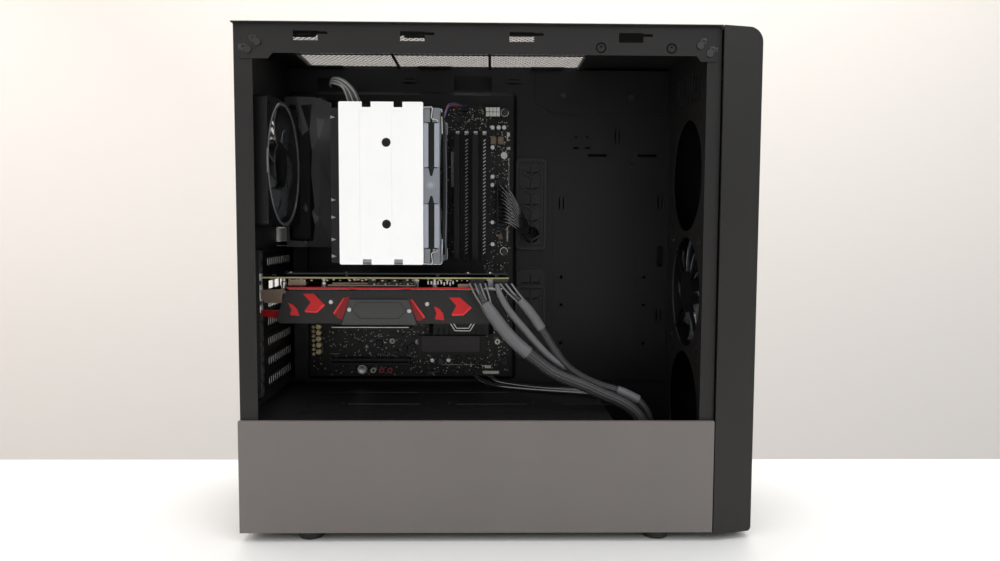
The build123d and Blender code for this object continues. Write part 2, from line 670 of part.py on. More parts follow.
# ---------------------------------------------------------------- processor cooler
cooler_face = board_face - cooler_height
cooler_x = (-155.0, -70.4)
cooler_z = (258.0, 400.0)
pipe_x = (-126.0, -114.0, -98.0, -86.0)
pipe_radius = 3.0
pipe_rows = (278.0, 380.0)
cooler_mid = (pipe_rows[0] + pipe_rows[1]) / 2
cooler_foot = board_face - 7.5
base_depth = 14.0
cover_holes = ((-104.0, 368.8), (-104.0, 293.9))
fin_pitch = 5.0
fin_y = (cooler_face + 2, cooler_face + 112)
with BuildPart() as fin_stack:
    for side_x in ((cooler_x[0] + 8, cooler_x[0] + 9), (cooler_x[1] - 9, cooler_x[1] - 8)):
        block(side_x, fin_y, (cooler_z[0] + 12, cooler_z[0] + 13))
        block(side_x, fin_y, (cooler_z[1] - 13, cooler_z[1] - 12))
    for k in range(int((fin_y[1] - fin_y[0]) / fin_pitch) + 1):
        y = fin_y[0] + fin_pitch * k
        block(cooler_x, (y, y + 0.6), cooler_z)
    with BuildSketch(across(fin_y[1] + 5)):
        for x in pipe_x:
            for z in pipe_rows:
                with Locations((x, z)):
                    Circle(pipe_radius + 0.02)
        with Locations(*cover_holes):
            Circle(4.2)
    extrude(amount=fin_y[1] - fin_y[0] + 10, mode=Mode.SUBTRACT)
save(fin_stack, "fin_stack")

with BuildPart() as cooler_base:
    block((-130.0, -82.0), (cooler_foot - base_depth, cooler_foot), (cooler_mid - 22, cooler_mid + 22))
    bar_y = (cooler_foot - base_depth - 3, cooler_foot - base_depth)
    block((-136.0, -76.0), bar_y, (cooler_mid - 6, cooler_mid + 6))
    for x in pipe_x:
        bend = cooler_foot - base_depth / 2
        with BuildLine() as pipe_path:
            FilletPolyline(
                (x, fin_y[0] + 1, pipe_rows[0]),
                (x, bend, pipe_rows[0]),
                (x, bend, pipe_rows[1]),
                (x, fin_y[0] + 1, pipe_rows[1]),
                radius=18,
            )
        with BuildSketch(Plane(origin=(x, fin_y[0] + 1, pipe_rows[0]), z_dir=(0, 1, 0))):
            Circle(pipe_radius)
        sweep(path=pipe_path.wires()[0])
save(cooler_base, "cooler_base")

cover_x = (-147.3, -70.0)
cover_z = (256.4, 405.6)
with BuildPart() as cooler_cover:
    with BuildSketch(across(fin_y[0] - 0.1)):
        with Locations(((cover_x[0] + cover_x[1]) / 2, (cover_z[0] + cover_z[1]) / 2)):
            RectangleRounded(cover_x[1] - cover_x[0], cover_z[1] - cover_z[0], 1.5)
        for x in (-122.0, -93.0):
            for z in cover_z:
                with Locations((x, z)):
                    Rectangle(8.2, 10, mode=Mode.SUBTRACT)
        with Locations(*cover_holes):
            Circle(4.2, mode=Mode.SUBTRACT)
    extrude(amount=1.9)
    for x in (-123.6, -94.3):
        groove_y = (cooler_face, cooler_face + 0.5)
        block((x - 4.9, x + 4.9), groove_y, (cover_z[0] + 8, cover_z[1] - 8), mode=Mode.SUBTRACT)
save(cooler_cover, "cooler_cover")

cooler_fan_x = -70.0
cooler_fan_depth = 15.0
cooler_fan_y = (-85.0, 50.0)
cooler_fan_z = (257.0, 401.0)
cooler_fan_mid = (
    (cooler_fan_y[0] + cooler_fan_y[1]) / 2,
    (cooler_fan_z[0] + cooler_fan_z[1]) / 2,
)
cooler_fan_wide = cooler_fan_y[1] - cooler_fan_y[0]
cooler_fan_high = cooler_fan_z[1] - cooler_fan_z[0]
cooler_fan_plane = Plane(origin=(cooler_fan_x, *cooler_fan_mid), x_dir=(0, 1, 0), z_dir=(1, 0, 0))
cooler_duct = cooler_fan_wide / 2 - 2
cooler_fan_holes = (cooler_fan_wide - 14, cooler_fan_high - 14)
fan_frame(
    "cooler_fan_frame",
    cooler_fan_plane,
    cooler_fan_wide,
    cooler_fan_high,
    cooler_fan_depth,
    cooler_duct,
    24,
    cooler_fan_holes,
)
rotor("cooler_fan_rotor", cooler_fan_plane, cooler_fan_depth - 1, 24, cooler_duct - 1.8, 9, 15, 34)

wire_radius = 0.7
clip_rows = (-68.0, 32.0)
clip_edge = cooler_fan_x + cooler_fan_depth + wire_radius + 0.3
with BuildPart() as fan_clips:
    for y in clip_rows:
        for z, turn in ((cooler_fan_z[1] + wire_radius + 0.1, -1), (cooler_fan_z[0] - wire_radius - 0.1, 1)):
            with BuildLine() as clip_path:
                FilletPolyline(
                    (cooler_x[0] + 6, y, z),
                    (clip_edge, y, z),
                    (clip_edge, y, z + turn * 12),
                    radius=1.6,
                )
            with BuildSketch(Plane(origin=(cooler_x[0] + 6, y, z), z_dir=(1, 0, 0))):
                Circle(wire_radius)
            sweep(path=clip_path.wires()[0])
save(fan_clips, "fan_clips")

# ---------------------------------------------------------------- graphics card
card_y = (-45.0, -45.0 + card_height)
card_x = (slot_wall + sheet, slot_wall + sheet + card_length)
card_under = card_z - 1.6
shroud_x = (-216.0, 8.0)
shroud_z = (197.0, 229.0)
shroud_y = (-52.0, 50.0)
card_fan_x = (-163.0, -47.0)
card_fan_y = -1.0
card_duct = 45.0
card_fan_top = 211.0
with BuildPart() as gpu_pcb:
    block(card_x, card_y, (card_under, card_z))
    block((pcie_x[0] + 2.5, pcie_x[1] - 2.5), (card_y[1], board_face - 3), (card_under, card_z))
    for x in (-27.5, -4.5):
        block((x, x + 14.5), (card_y[0] + 1, card_y[0] + 15), (card_under - 8, card_under))
save(gpu_pcb, "gpu_pcb")

with BuildPart() as gpu_backplate:
    block((card_x[0] + 4, card_x[1] - 1), (card_y[0] + 0.5, card_y[1] - 1), (card_z + 2.5, card_z + 4))
    with BuildSketch(Plane.XY.offset(card_z)):
        for x in (card_x[0] + 12, -150, -60, card_x[1] - 12):
            for y in (card_y[0] + 8, card_y[1] - 10):
                with Locations((x, y)):
                    Circle(2.5)
    extrude(amount=2.5)
save(gpu_backplate, "gpu_backplate")

bracket_card_z = (slot_z[2] - bracket_width / 2, slot_z[1] + bracket_width / 2)
with BuildPart() as gpu_bracket:
    block((slot_wall, slot_wall + sheet), bracket_y, bracket_card_z)
    block(tab_x, (bracket_y[0], slot_y[0]), bracket_card_z)
    for y in (-16.0, 6.0, 28.0):
        block((slot_wall, slot_wall + sheet), (y, y + 17), (card_z - 14, card_z - 6), Mode.SUBTRACT)
    with BuildSketch(along(slot_wall)):
        with Locations((22, slot_z[2])):
            with GridLocations(6.4, 0, 13, 1):
                SlotOverall(11, 3.4, rotation=90)
    extrude(amount=sheet, mode=Mode.SUBTRACT)
save(gpu_bracket, "gpu_bracket")

card_sink_x = (-206.0, 0.0)
card_sink_y = (-44.0, 44.0)
with BuildPart() as gpu_heatsink:
    block(card_sink_x, card_sink_y, (card_fan_top + 18, card_fan_top + 21))
    for k in range(36):
        x = card_sink_x[0] + 5.85 * k
        block((x, x + 0.8), card_sink_y, (card_fan_top + 1, card_fan_top + 18))
    block((-130.0, -80.0), (-25.0, 25.0), (card_fan_top + 21, card_under))
    for x in (-200.0, -6.0):
        block((x - 4, x + 4), (-20.0, 20.0), (card_fan_top + 21, card_under))
save(gpu_heatsink, "gpu_heatsink")

with BuildPart() as gpu_shroud:
    with BuildSketch(across(shroud_y[1])):
        with BuildLine():
            Polyline(
                (shroud_x[0], shroud_z[0] + 4),
                (shroud_x[0] + 9, shroud_z[1]),
                (shroud_x[1] - 12, shroud_z[1]),
                (shroud_x[1], shroud_z[0] + 8),
                (shroud_x[1] - 5, shroud_z[0]),
                (shroud_x[0] + 3, shroud_z[0]),
                close=True,
            )
        make_face()
    extrude(amount=shroud_y[1] - shroud_y[0])
    hollow_x = (shroud_x[0] + 9, shroud_x[1] - 7.5)
    block(hollow_x, (shroud_y[0] + 2, shroud_y[1] - 2), (shroud_z[0] + 2, shroud_z[1]), Mode.SUBTRACT)
    with BuildSketch(Plane.XY.offset(shroud_z[0])):
        for x in card_fan_x:
            with Locations((x, card_fan_y)):
                Circle(card_duct)
    extrude(amount=2, mode=Mode.SUBTRACT)
    for x in card_fan_x:
        spider(
            Plane(origin=(x, card_fan_y, card_fan_top), x_dir=(1, 0, 0), z_dir=(0, 0, -1)),
            card_duct + 10,
            12,
            7,
        )
    block(hollow_x, (shroud_y[1] - 12, shroud_y[1] - 2), (card_fan_top - 3, card_fan_top))
    block(hollow_x, (shroud_y[0] + 2, shroud_y[0] + 6), (card_fan_top - 3, card_fan_top))
save(gpu_shroud, "gpu_shroud")

for k, x in enumerate(card_fan_x):
    fan_plane = Plane(origin=(x, card_fan_y, card_fan_top), x_dir=(1, 0, 0), z_dir=(0, 0, -1))
    rotor(f"gpu_fan_rotor_{k + 1}", fan_plane, 12.5, 17, card_duct - 2, 9, 11, 40)

badge_mid = -116.0
with BuildPart() as gpu_badge:
    with BuildSketch(across(shroud_y[0])):
        with BuildLine():
            Polyline(
                (badge_mid - 37, shroud_z[0] - 1.5),
                (badge_mid - 29, shroud_z[0] + 24),
                (badge_mid + 29, shroud_z[0] + 24),
                (badge_mid + 37, shroud_z[0] - 1.5),
                close=True,
            )
        make_face()
    extrude(amount=2.2)
    chamfer(gpu_badge.faces().sort_by(Axis.Y)[0].edges(), 0.8)
save(gpu_badge, "gpu_badge")

plug_y = (card_y[0] - 13, card_y[0] + 0.7)
plug_z = (card_under - 8, card_under - 0.4)
with BuildPart() as gpu_power_plugs:
    for x in (-27.5, -4.5):
        block((x, x + 14.5), plug_y, plug_z)
    chamfer(gpu_power_plugs.faces().sort_by(Axis.Y)[0].edges(), 1)
save(gpu_power_plugs, "gpu_power_plugs")

# ---------------------------------------------------------------- power supply
inlet = (-48.0, 48.0)  # y and z of the mains inlet's middle
switch = (-18.0, 48.0)
supply_fan = (supply_mid, 0.0)
cable_exit = (-20.0, 55.0)
with BuildPart() as psu_case:
    block((supply_rear, supply_front), (-supply_y, supply_y), (supply_bottom, supply_top))
    block(
        (supply_rear + 1.2, supply_front - 1.2),
        (-supply_y + 1.2, supply_y - 1.2),
        (supply_bottom + 1.2, supply_top - 1.2),
        mode=Mode.SUBTRACT,
    )
    with BuildSketch(Plane.XY.offset(supply_bottom)):
        with Locations(supply_fan):
            for ring in (18, 30, 42, 54):
                Circle(ring + 8)
                Circle(ring, mode=Mode.SUBTRACT)
            Rectangle(130, 5, rotation=45, mode=Mode.SUBTRACT)
            Rectangle(130, 5, rotation=-45, mode=Mode.SUBTRACT)
    extrude(amount=1.2, mode=Mode.SUBTRACT)
    with BuildSketch(along(supply_rear)):
        with Locations(inlet):
            Rectangle(28.4, 20.4)
        with Locations(switch):
            Rectangle(14.4, 20.4)
        with Locations((35, 57)):
            with GridLocations(8, 8, 8, 8):
                RegularPolygon(3.6, 6)
        for y, z in supply_screws:
            with Locations((y, z)):
                Circle(1.6)
    extrude(amount=1.2, mode=Mode.SUBTRACT)
    with BuildSketch(along(supply_front - 1.2)):
        with Locations(cable_exit):
            SlotOverall(46, 24)
    extrude(amount=1.2, mode=Mode.SUBTRACT)
    inlet_y = (inlet[0] - 14, inlet[0] + 14)
    inlet_z = (inlet[1] - 10, inlet[1] + 10)
    block((supply_rear - 0.5, supply_rear + 22), inlet_y, inlet_z)
    socket_y = (inlet[0] - 11, inlet[0] + 11)
    socket_z = (inlet[1] - 7.5, inlet[1] + 7.5)
    block((supply_rear - 0.5, supply_rear + 17), socket_y, socket_z, mode=Mode.SUBTRACT)
    for y in (-7.0, 0.0, 7.0):
        block((supply_rear + 2, supply_rear + 17), (inlet[0] + y - 1, inlet[0] + y + 1), (46, 50))
    switch_y = (switch[0] - 7.1, switch[0] + 7.1)
    switch_z = (switch[1] - 10.1, switch[1] + 10.1)
    block((supply_rear - 0.5, supply_rear + 14), switch_y, switch_z)
    well_y = (switch[0] - 6.1, switch[0] + 6.1)
    well_z = (switch[1] - 9.1, switch[1] + 9.1)
    block((supply_rear - 0.5, supply_rear + 12), well_y, well_z, mode=Mode.SUBTRACT)
    with BuildSketch(across(switch[0] + 7)):
        with Locations((supply_rear + 5, switch[1])):
            Circle(1 + running_fit)
    extrude(amount=14, mode=Mode.SUBTRACT)
    spider(
        Plane(origin=(*supply_fan, supply_bottom + 27), x_dir=(1, 0, 0), z_dir=(0, 0, -1)),
        supply_y - 2,
        20,
        14,
    )
save(psu_case, "psu_case")

supply_fan_plane = Plane(origin=(*supply_fan, supply_bottom + 27), x_dir=(1, 0, 0), z_dir=(0, 0, -1))
rotor("psu_fan_rotor", supply_fan_plane, 23, 24, 60, 9, 20, 45)

with BuildPart() as psu_switch:
    with BuildSketch(across(switch[0] + 5.6)):
        with BuildLine():
            Polyline(
                (supply_rear - 0.4, switch[1] + 8.2),
                (supply_rear + 0.9, switch[1] + 1),
                (supply_rear + 2.4, switch[1] - 7.6),
                (supply_rear + 5.5, switch[1] - 6.5),
                (supply_rear + 7.5, switch[1]),
                (supply_rear + 5.0, switch[1] + 6.5),
                close=True,
            )
        make_face()
    extrude(amount=11.2)
    with BuildSketch(across(switch[0] + 6.8)):
        with Locations((supply_rear + 5, switch[1])):
            Circle(1)
    extrude(amount=13.6)
save(psu_switch, "psu_switch")

# ---------------------------------------------------------------- front panel
bezel_wall = 2.5
panel_bottom = 6.0
window_y = 84.0
window_z = (26.0, 440.0)
io_x = joint + 11.0
power_at = (io_x, 40.0)
reset_at = (io_x, 22.0)
power_radius = 7.0
reset_radius = 2.6
usb_at = ((io_x, -40.0), (io_x, -18.0))
jack_at = (io_x, 3.0)
bezel_mid_z = (panel_bottom + height) / 2
bezel_high = height - panel_bottom
io_deck = height - 13.0
with BuildPart() as front_bezel:
    with BuildSketch(along(joint)):
        with Locations((0, bezel_mid_z)):
            Rectangle(width, bezel_high)
    with BuildSketch(along(front)):
        with Locations((0, bezel_mid_z)):
            Rectangle(width - 2 * front_taper, bezel_high)
    loft()
    top_edge = front_bezel.edges().filter_by(Axis.Y).group_by(Axis.X)[-1].sort_by(Axis.Z)
    fillet(top_edge[-1], 13)
    fillet(top_edge[0], 4)
    with BuildSketch(along(joint)):
        with Locations((0, bezel_mid_z)):
            Rectangle(width - 2 * bezel_wall, bezel_high - 2 * bezel_wall)
    with BuildSketch(along(front - bezel_wall)):
        with Locations((0, bezel_mid_z)):
            Rectangle(width - 2 * front_taper - 2 * bezel_wall, bezel_high - 2 * bezel_wall - 12)
    loft(mode=Mode.SUBTRACT)
    block((front - bezel_wall, front), (-window_y, window_y), window_z, mode=Mode.SUBTRACT)
    with BuildSketch(Plane.XY.offset(io_deck)):
        with Locations(power_at):
            Circle(power_radius + clearance)
        with Locations(reset_at):
            Circle(reset_radius + clearance)
        with Locations(jack_at):
            Circle(3.9)
        with Locations(*usb_at):
            Rectangle(7, 14.4)
    extrude(amount=20, mode=Mode.SUBTRACT)
    for side in (-1, 1):
        for z in (65.0, 430.0):
            web_y = sorted((side * 83.0, side * (skin - 3)))
            block((joint + 0.5, joint + 4), web_y, (z - 4, z + 4))
            with BuildSketch(along(front_wall - 4)):
                with Locations((side * 86.0, z)):
                    Circle(3)
            extrude(amount=joint + 2 - front_wall + 4)
save(front_bezel, "front_bezel")

with BuildPart() as front_mesh:
    mesh_x = (front - bezel_wall - 1.2, front - bezel_wall)
    block(mesh_x, (-window_y - 3, window_y + 3), (window_z[0] - 4, window_z[1] + 4))
    with BuildSketch(along(mesh_x[0])):
        with Locations((0, (window_z[0] + window_z[1]) / 2)):
            with GridLocations(12, 100, 14, 4):
                SlotOverall(96, 8, rotation=90)
    extrude(amount=1.2, mode=Mode.SUBTRACT)
save(front_mesh, "front_mesh")

with BuildPart() as front_io_ports:
    block((io_x - 9, io_x + 9), (-52.0, 52.0), (io_deck - 3, io_deck - 1.4))
    for y in (-50.0, 50.0):
        block((io_x - 2, io_x + 2), (y - 1.5, y + 1.5), (io_deck - 1.4, height - bezel_wall - 2.3))
    for x, y in usb_at:
        block((x - 3.4, x + 3.4), (y - 7, y + 7), (io_deck - 1.4, height))
        block((x - 2.4, x + 2.4), (y - 6.1, y + 6.1), (io_deck + 2, height), mode=Mode.SUBTRACT)
        block((x - 1.9, x - 0.1), (y - 5.5, y + 5.5), (io_deck + 2, height - 2))
    with BuildSketch(Plane.XY.offset(io_deck - 1.4)):
        with Locations(jack_at):
            Circle(3.8)
    extrude(amount=14.4)
    with BuildSketch(Plane.XY.offset(io_deck + 1)):
        with Locations(jack_at):
            Circle(1.8)
    extrude(amount=12, mode=Mode.SUBTRACT)
save(front_io_ports, "front_io_ports")

button_travel = 1.5
for label, at, radius in (("power_button", power_at, power_radius), ("reset_button", reset_at, reset_radius)):
    with BuildPart() as button:
        with BuildSketch(Plane.XY.offset(height - 8)):
            with Locations(at):
                Circle(radius)
        extrude(amount=8)
        fillet(button.edges().filter_by(GeomType.CIRCLE).sort_by(Axis.Z)[-1], 0.8)
        with BuildSketch(Plane.XY.offset(height - 8.4)):
            with Locations(at):
                Circle(radius + 1)
        extrude(amount=2)
        with BuildSketch(Plane.XY.offset(io_deck + button_travel)):
            with Locations(at):
                Circle(1.4)
        extrude(amount=6)
    save(button, label)

# ---------------------------------------------------------------- screws and rivets
rivets = (
    (rail_x[0] + 7.1, rail_bottom + 2.8),
    (rail_x[0] + 15.7, rail_bottom + 9.4),
    (rail_x[1] - 14.8, rail_bottom + 9.1),
    (rail_x[1] - 6.1, rail_bottom + 2.1),
)
fan_corners = [(y, z) for y in (-1, 1) for z in (-1, 1)]
half_holes = fan_hole_spacing / 2
with BuildPart() as case_fasteners:
    with BuildSketch(across(-frame_y - sheet)):
        with Locations(*rivets):
            Circle(3.2)
    extrude(amount=1.2)
    with BuildSketch(across(board_face)):
        with Locations(*board_holes):
            Circle(head_radius)
    extrude(amount=head_height)
    with BuildSketch(across(tray_depth - tray_step - 1)):
        with Locations(*board_holes):
            Circle(screw_radius)
    extrude(amount=standoff_height + board_thickness)
    with BuildSketch(across(tray_depth - 1.4)):
        with Locations(*bracket_screws):
            Circle(head_radius)
    extrude(amount=head_height)
    with BuildSketch(across(bracket_y[0])):
        with Locations(*[(slot_wall - 2.5, z) for z in slot_z]):
            Circle(2.3)
    extrude(amount=head_height)
    with BuildSketch(along(rear)):
        for y, z in supply_screws:
            with Locations((y, z)):
                Circle(head_radius)
        for y, z in fan_corners:
            with Locations((exhaust_y + y * half_holes, exhaust_z + z * half_holes)):
                Circle(head_radius)
    extrude(amount=sheet)
    with BuildSketch(along(front_wall)):
        for y, z in fan_corners:
            with Locations((y * half_holes, intake_z + z * half_holes)):
                Circle(head_radius)
    extrude(amount=-head_height)
save(case_fasteners, "case_fasteners")

# ---------------------------------------------------------------- wiring
bend_share = 0.45


def bends(points):
    """The largest arc at each corner of a route that leaves its runs a straight middle."""
    corners = []
    for before, at, after in zip(points, points[1:], points[2:]):
        arrive = Vector(*at) - Vector(*before)
        leave = Vector(*after) - Vector(*at)
        half_turn = math.radians(arrive.get_angle(leave)) / 2
        corners.append(bend_share * min(arrive.length, leave.length) / math.tan(half_turn))
    return corners


def lead(label, points, radius):
    """A tube along a route of straight runs and tangent arcs, checked against its length."""
    corners = bends(points)
    with BuildPart() as tube:
        with BuildLine() as path:
            FilletPolyline(*points, radius=corners)
        start = Vector(*points[1]) - Vector(*points[0])
        with BuildSketch(Plane(origin=points[0], z_dir=start)):
            Circle(radius)
        sweep(path=path.wires()[0])
    long = path.wires()[0].length
    print(label, "length", round(long, 1), "radii", [round(corner, 1) for corner in corners])
    print(label, "volume", round(tube.part.volume), "section times length", round(math.pi * radius**2 * long))
    return tube


main_route = [
    (4.0, board_face - 26, 318.0),
    (5.5, board_face - 37, 314.0),
    (16.0, board_face - 41, 303.0),
    (30.0, board_face - 27, 289.0),
    (38.6, board_face - 5, 283.6),
    (39.2, tray_depth + 14, 283.0),
]
eps_route = [
    (-152.0, board_face - 26, 416.8),
    (-153.0, board_face - 36, 421.0),
    (-158.0, board_face - 38, 434.0),
    (-170.0, board_face - 30, 446.0),
    (-184.0, board_face - 12, 451.0),
    (-189.0, tray_depth + 10, 452.0),
]
header_x = (-8.0, -24.0)
header_routes = [
    [
        (x, board_face - 7, 124.0),
        (x + 5, board_face - 13, 118.5),
        (x + 26, board_face - 21 + drop, 116.4),
        (52.0, board_face - 40 + drop, 116.2),
        (84.0, board_face - 54 + drop, 117.2),
        (113.0, board_face - 66 + drop, 117.0),
        (130.0, board_face - 73 + drop, 107.0),
        (144.0, board_face - 78 + drop, 91.0),
        (162.0, board_face - 81 + drop, 76.0),
        (180.0, board_face - 84 + drop, 66.5),
        (front_wall, board_face - 85 + drop, 64.0),
    ]
    for x, drop in zip(header_x, (0.0, -12.0))
]
main_lead = lead("main lead", main_route, 7)
eps_lead = lead("processor lead", eps_route, 4)
header_leads = [lead(f"header lead {k + 1}", route, 2.5) for k, route in enumerate(header_routes)]
with BuildPart() as board_leads:
    for piece in (main_lead, eps_lead, *header_leads):
        add(piece.part)
    for x, z in (main_socket, eps_socket):
        block((x[0] + 1.4, x[1] - 1.4), (board_face - 26, board_face - 4), (z[0] + 1.4, z[1] - 1.4))
        block(x, (board_face - 26, board_face - 12), z)
    for x in header_x:
        block((x - 4, x + 4), (board_face - 11, board_face), (124.0, 129.5))
save(board_leads, "board_leads")

plug_face = plug_y[0]
first_route = [
    (-20.2, plug_face, 235.5),
    (-19.6, plug_face - 5.5, 230.5),
    (-9.0, -64.0, 212.0),
    (7.7, -64.0, 189.5),
    (21.3, -63.5, 176.0),
    (37.0, -63.0, 163.2),
    (53.6, -63.0, 150.5),
    (69.1, -63.5, 144.0),
    (85.7, -64.0, 138.0),
    (101.3, -64.5, 130.2),
    (117.9, -65.0, 123.8),
    (131.0, -65.5, 115.5),
    (140.5, -65.0, 104.0),
    (143.0, -60.0, 86.0),
    (134.0, -52.0, 66.0),
    (112.0, -44.0, 53.0),
    (78.0, -37.0, 48.0),
    (36.0, -33.0, 48.5),
    (-8.0, -31.0, 51.0),
    (-50.0, -30.5, 52.0),
    (supply_front - 1, -30.0, 52.5),
]
pigtail_route = [
    (-1.2, plug_face, 235.5),
    (-0.6, plug_face - 3.5, 230.5),
    (9.0, -60.0, 212.0),
    (27.4, -57.5, 190.5),
    (40.3, -55.5, 175.0),
    (54.3, -53.0, 161.0),
    (67.0, -50.0, 153.0),
]
second_route = [
    (7.2, plug_face, 235.5),
    (11.0, plug_face - 4.0, 230.5),
    (25.5, -58.0, 216.5),
    (37.5, -56.0, 201.0),
    (47.0, -54.0, 185.0),
    (57.5, -52.0, 168.0),
    (67.8, -50.0, 154.0),
    (81.0, -49.0, 144.5),
    (100.4, -50.0, 135.5),
    (119.5, -51.0, 130.5),
    (137.0, -52.5, 123.5),
    (149.0, -53.0, 109.0),
    (152.5, -49.0, 90.0),
    (144.0, -41.0, 72.0),
    (122.0, -31.0, 61.5),
    (88.0, -21.0, 57.0),
    (46.0, -14.5, 56.0),
    (2.0, -12.5, 57.5),
    (-46.0, -12.0, 58.5),
    (supply_front - 1, -12.0, 58.0),
]
first_cable = lead("graphics lead 1", first_route, 6)
second_cable = lead("graphics lead 2", second_route, 4.3)
pigtail = lead("graphics lead 2 branch", pigtail_route, 3.6)
save(first_cable, "gpu_cable_1")

with BuildPart() as gpu_cable_2:
    add(second_cable.part)
    add(pigtail.part)
save(gpu_cable_2, "gpu_cable_2")
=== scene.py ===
import json
import math
import random

import bmesh
import bpy
from mathutils import Matrix, Vector

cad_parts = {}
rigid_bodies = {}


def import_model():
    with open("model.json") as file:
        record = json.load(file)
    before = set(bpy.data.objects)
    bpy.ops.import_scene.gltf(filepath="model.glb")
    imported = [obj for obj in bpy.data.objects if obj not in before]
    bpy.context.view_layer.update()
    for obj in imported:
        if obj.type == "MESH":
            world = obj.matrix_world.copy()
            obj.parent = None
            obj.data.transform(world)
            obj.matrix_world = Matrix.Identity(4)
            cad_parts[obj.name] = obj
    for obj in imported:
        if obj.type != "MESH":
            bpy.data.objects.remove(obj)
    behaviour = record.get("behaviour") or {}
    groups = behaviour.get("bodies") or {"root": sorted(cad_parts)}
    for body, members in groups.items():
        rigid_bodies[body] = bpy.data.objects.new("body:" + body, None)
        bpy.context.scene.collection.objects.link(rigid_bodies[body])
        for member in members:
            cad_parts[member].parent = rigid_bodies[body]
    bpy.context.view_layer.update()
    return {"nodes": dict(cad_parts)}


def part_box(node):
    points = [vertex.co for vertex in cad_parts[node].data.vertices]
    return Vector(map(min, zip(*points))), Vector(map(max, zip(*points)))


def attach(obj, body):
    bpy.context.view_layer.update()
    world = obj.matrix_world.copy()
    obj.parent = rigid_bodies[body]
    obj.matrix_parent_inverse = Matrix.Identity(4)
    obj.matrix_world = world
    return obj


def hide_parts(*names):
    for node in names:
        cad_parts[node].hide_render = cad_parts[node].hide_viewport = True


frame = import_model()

MM = 0.001
WELD = 0.01 * MM  # points nearer than this are one
for item in bpy.data.objects:
    item.select_set(False)

# ------------------------------------------------------------------ camera, floor and light
# A white table, soft light from above and in front, and a low light from the left that grazes
# the open side. The camera looks across the table into the open side.
eye = Vector((-11.08, -816.14, 292.2)) * MM
camera_data = bpy.data.cameras.new("camera")
camera = bpy.data.objects.new("camera", camera_data)
bpy.context.collection.objects.link(camera)
camera_data.lens = 28.24
camera_data.sensor_width = 36.0
camera_data.clip_start = 0.01
yaw, pitch, roll = (math.radians(a) for a in (-0.962, -3.941, -0.2475))
turn = Matrix.Rotation(yaw, 4, "Z") @ Matrix.Rotation(pitch, 4, "X") @ Matrix.Rotation(roll, 4, "Y")
camera.matrix_world = Matrix.Translation(eye) @ turn @ Matrix.Rotation(math.radians(90), 4, "X")
bpy.context.scene.camera = camera
bpy.context.scene.view_settings.view_transform = "Standard"


def nodes_of(name):
    """A new material, its node tree and its shader."""
    material = bpy.data.materials.new(name)
    material.use_nodes = True
    tree = material.node_tree
    return material, tree, tree.nodes["Principled BSDF"]


def feed(tree, target, inputs):
    """Set a node's inputs, each to a value or from another node's output."""
    for key, value in inputs.items():
        if isinstance(value, bpy.types.NodeSocket):
            tree.links.new(value, target.inputs[key])
        else:
            target.inputs[key].default_value = value


def add_node(tree, kind, inputs, **settings):
    """A new shader node with its settings and inputs."""
    made = tree.nodes.new("ShaderNode" + kind)
    for key, value in settings.items():
        setattr(made, key, value)
    feed(tree, made, inputs)
    return made


def add_math(tree, operation, *values):
    """The result of one sum on values or other nodes' outputs."""
    return add_node(tree, "Math", dict(enumerate(values)), operation=operation).outputs[0]


def put(name, data):
    """A new object in the scene that shows some data."""
    thing = bpy.data.objects.new(name, data)
    bpy.context.collection.objects.link(thing)
    return thing


def stage_plane(name, paint, at, turned, size):
    """A flat part of the room, which isn't part of the object."""
    bpy.ops.mesh.primitive_plane_add(size=1, location=at, rotation=[math.radians(a) for a in turned])
    plane = bpy.context.object
    plane.name = name
    plane.scale = size
    plane.data.materials.append(paint)


floor_paint, tree, shader = nodes_of("table_white")
feed(tree, shader, {"Base Color": (0.9, 0.9, 0.885, 1), "Roughness": 0.45})
wall_paint, tree, shader = nodes_of("wall_white")
feed(tree, shader, {"Base Color": (0.9, 0.85, 0.8, 1), "Roughness": 0.9})
stage_plane("table", floor_paint, (0, -1.846, -0.0006), (0, 0, 0), (12, 4, 1))
stage_plane("wall", wall_paint, (0, 1.25, 1.0), (90, 0, 0), (14, 8, 1))
stage_plane("side_wall", wall_paint, (-2.1, -0.6, 1.0), (90, 0, 90), (6, 8, 1))


def soft_light(name, at, aim, size, watts, tint=(1, 1, 1)):
    """A square area light that faces a point."""
    data = bpy.data.lights.new(name, "AREA")
    data.shape = "RECTANGLE"
    data.size, data.size_y = size
    data.energy = watts
    data.color = tint
    lamp = put(name, data)
    lamp.location = at
    lamp.rotation_euler = (Vector(aim) - Vector(at)).to_track_quat("-Z", "Y").to_euler()


soft_light("ceiling", (0.1, 0.1, 2.1), (0, 0.1, 0), (2.4, 1.6), 30)
soft_light("window", (-1.6, -1.5, 1.1), (0, 0, 0.25), (1.2, 1.2), 7)
soft_light("side", (-1.2, 0.3, 1.3), (-2.1, 0, 0.3), (1.0, 0.8), 6)
soft_light("room", (1.3, -1.7, 1.5), (0, 0, 0.2), (1.6, 1.2), 12)
soft_light("wall_wash", (0.5, 0.35, 1.9), (0.3, 1.25, 0.3), (2.6, 0.7), 9, (1.0, 0.98, 0.95))
world = bpy.context.scene.world or bpy.data.worlds.new("world")
bpy.context.scene.world = world
world.use_nodes = True
world.node_tree.nodes["Background"].inputs["Color"].default_value = (0.9, 0.92, 0.95, 1)
world.node_tree.nodes["Background"].inputs["Strength"].default_value = 0.55

# ------------------------------------------------------------------ finishes
# Every finish is a base colour broken up by a fine grain, with wear or dust at a larger scale.


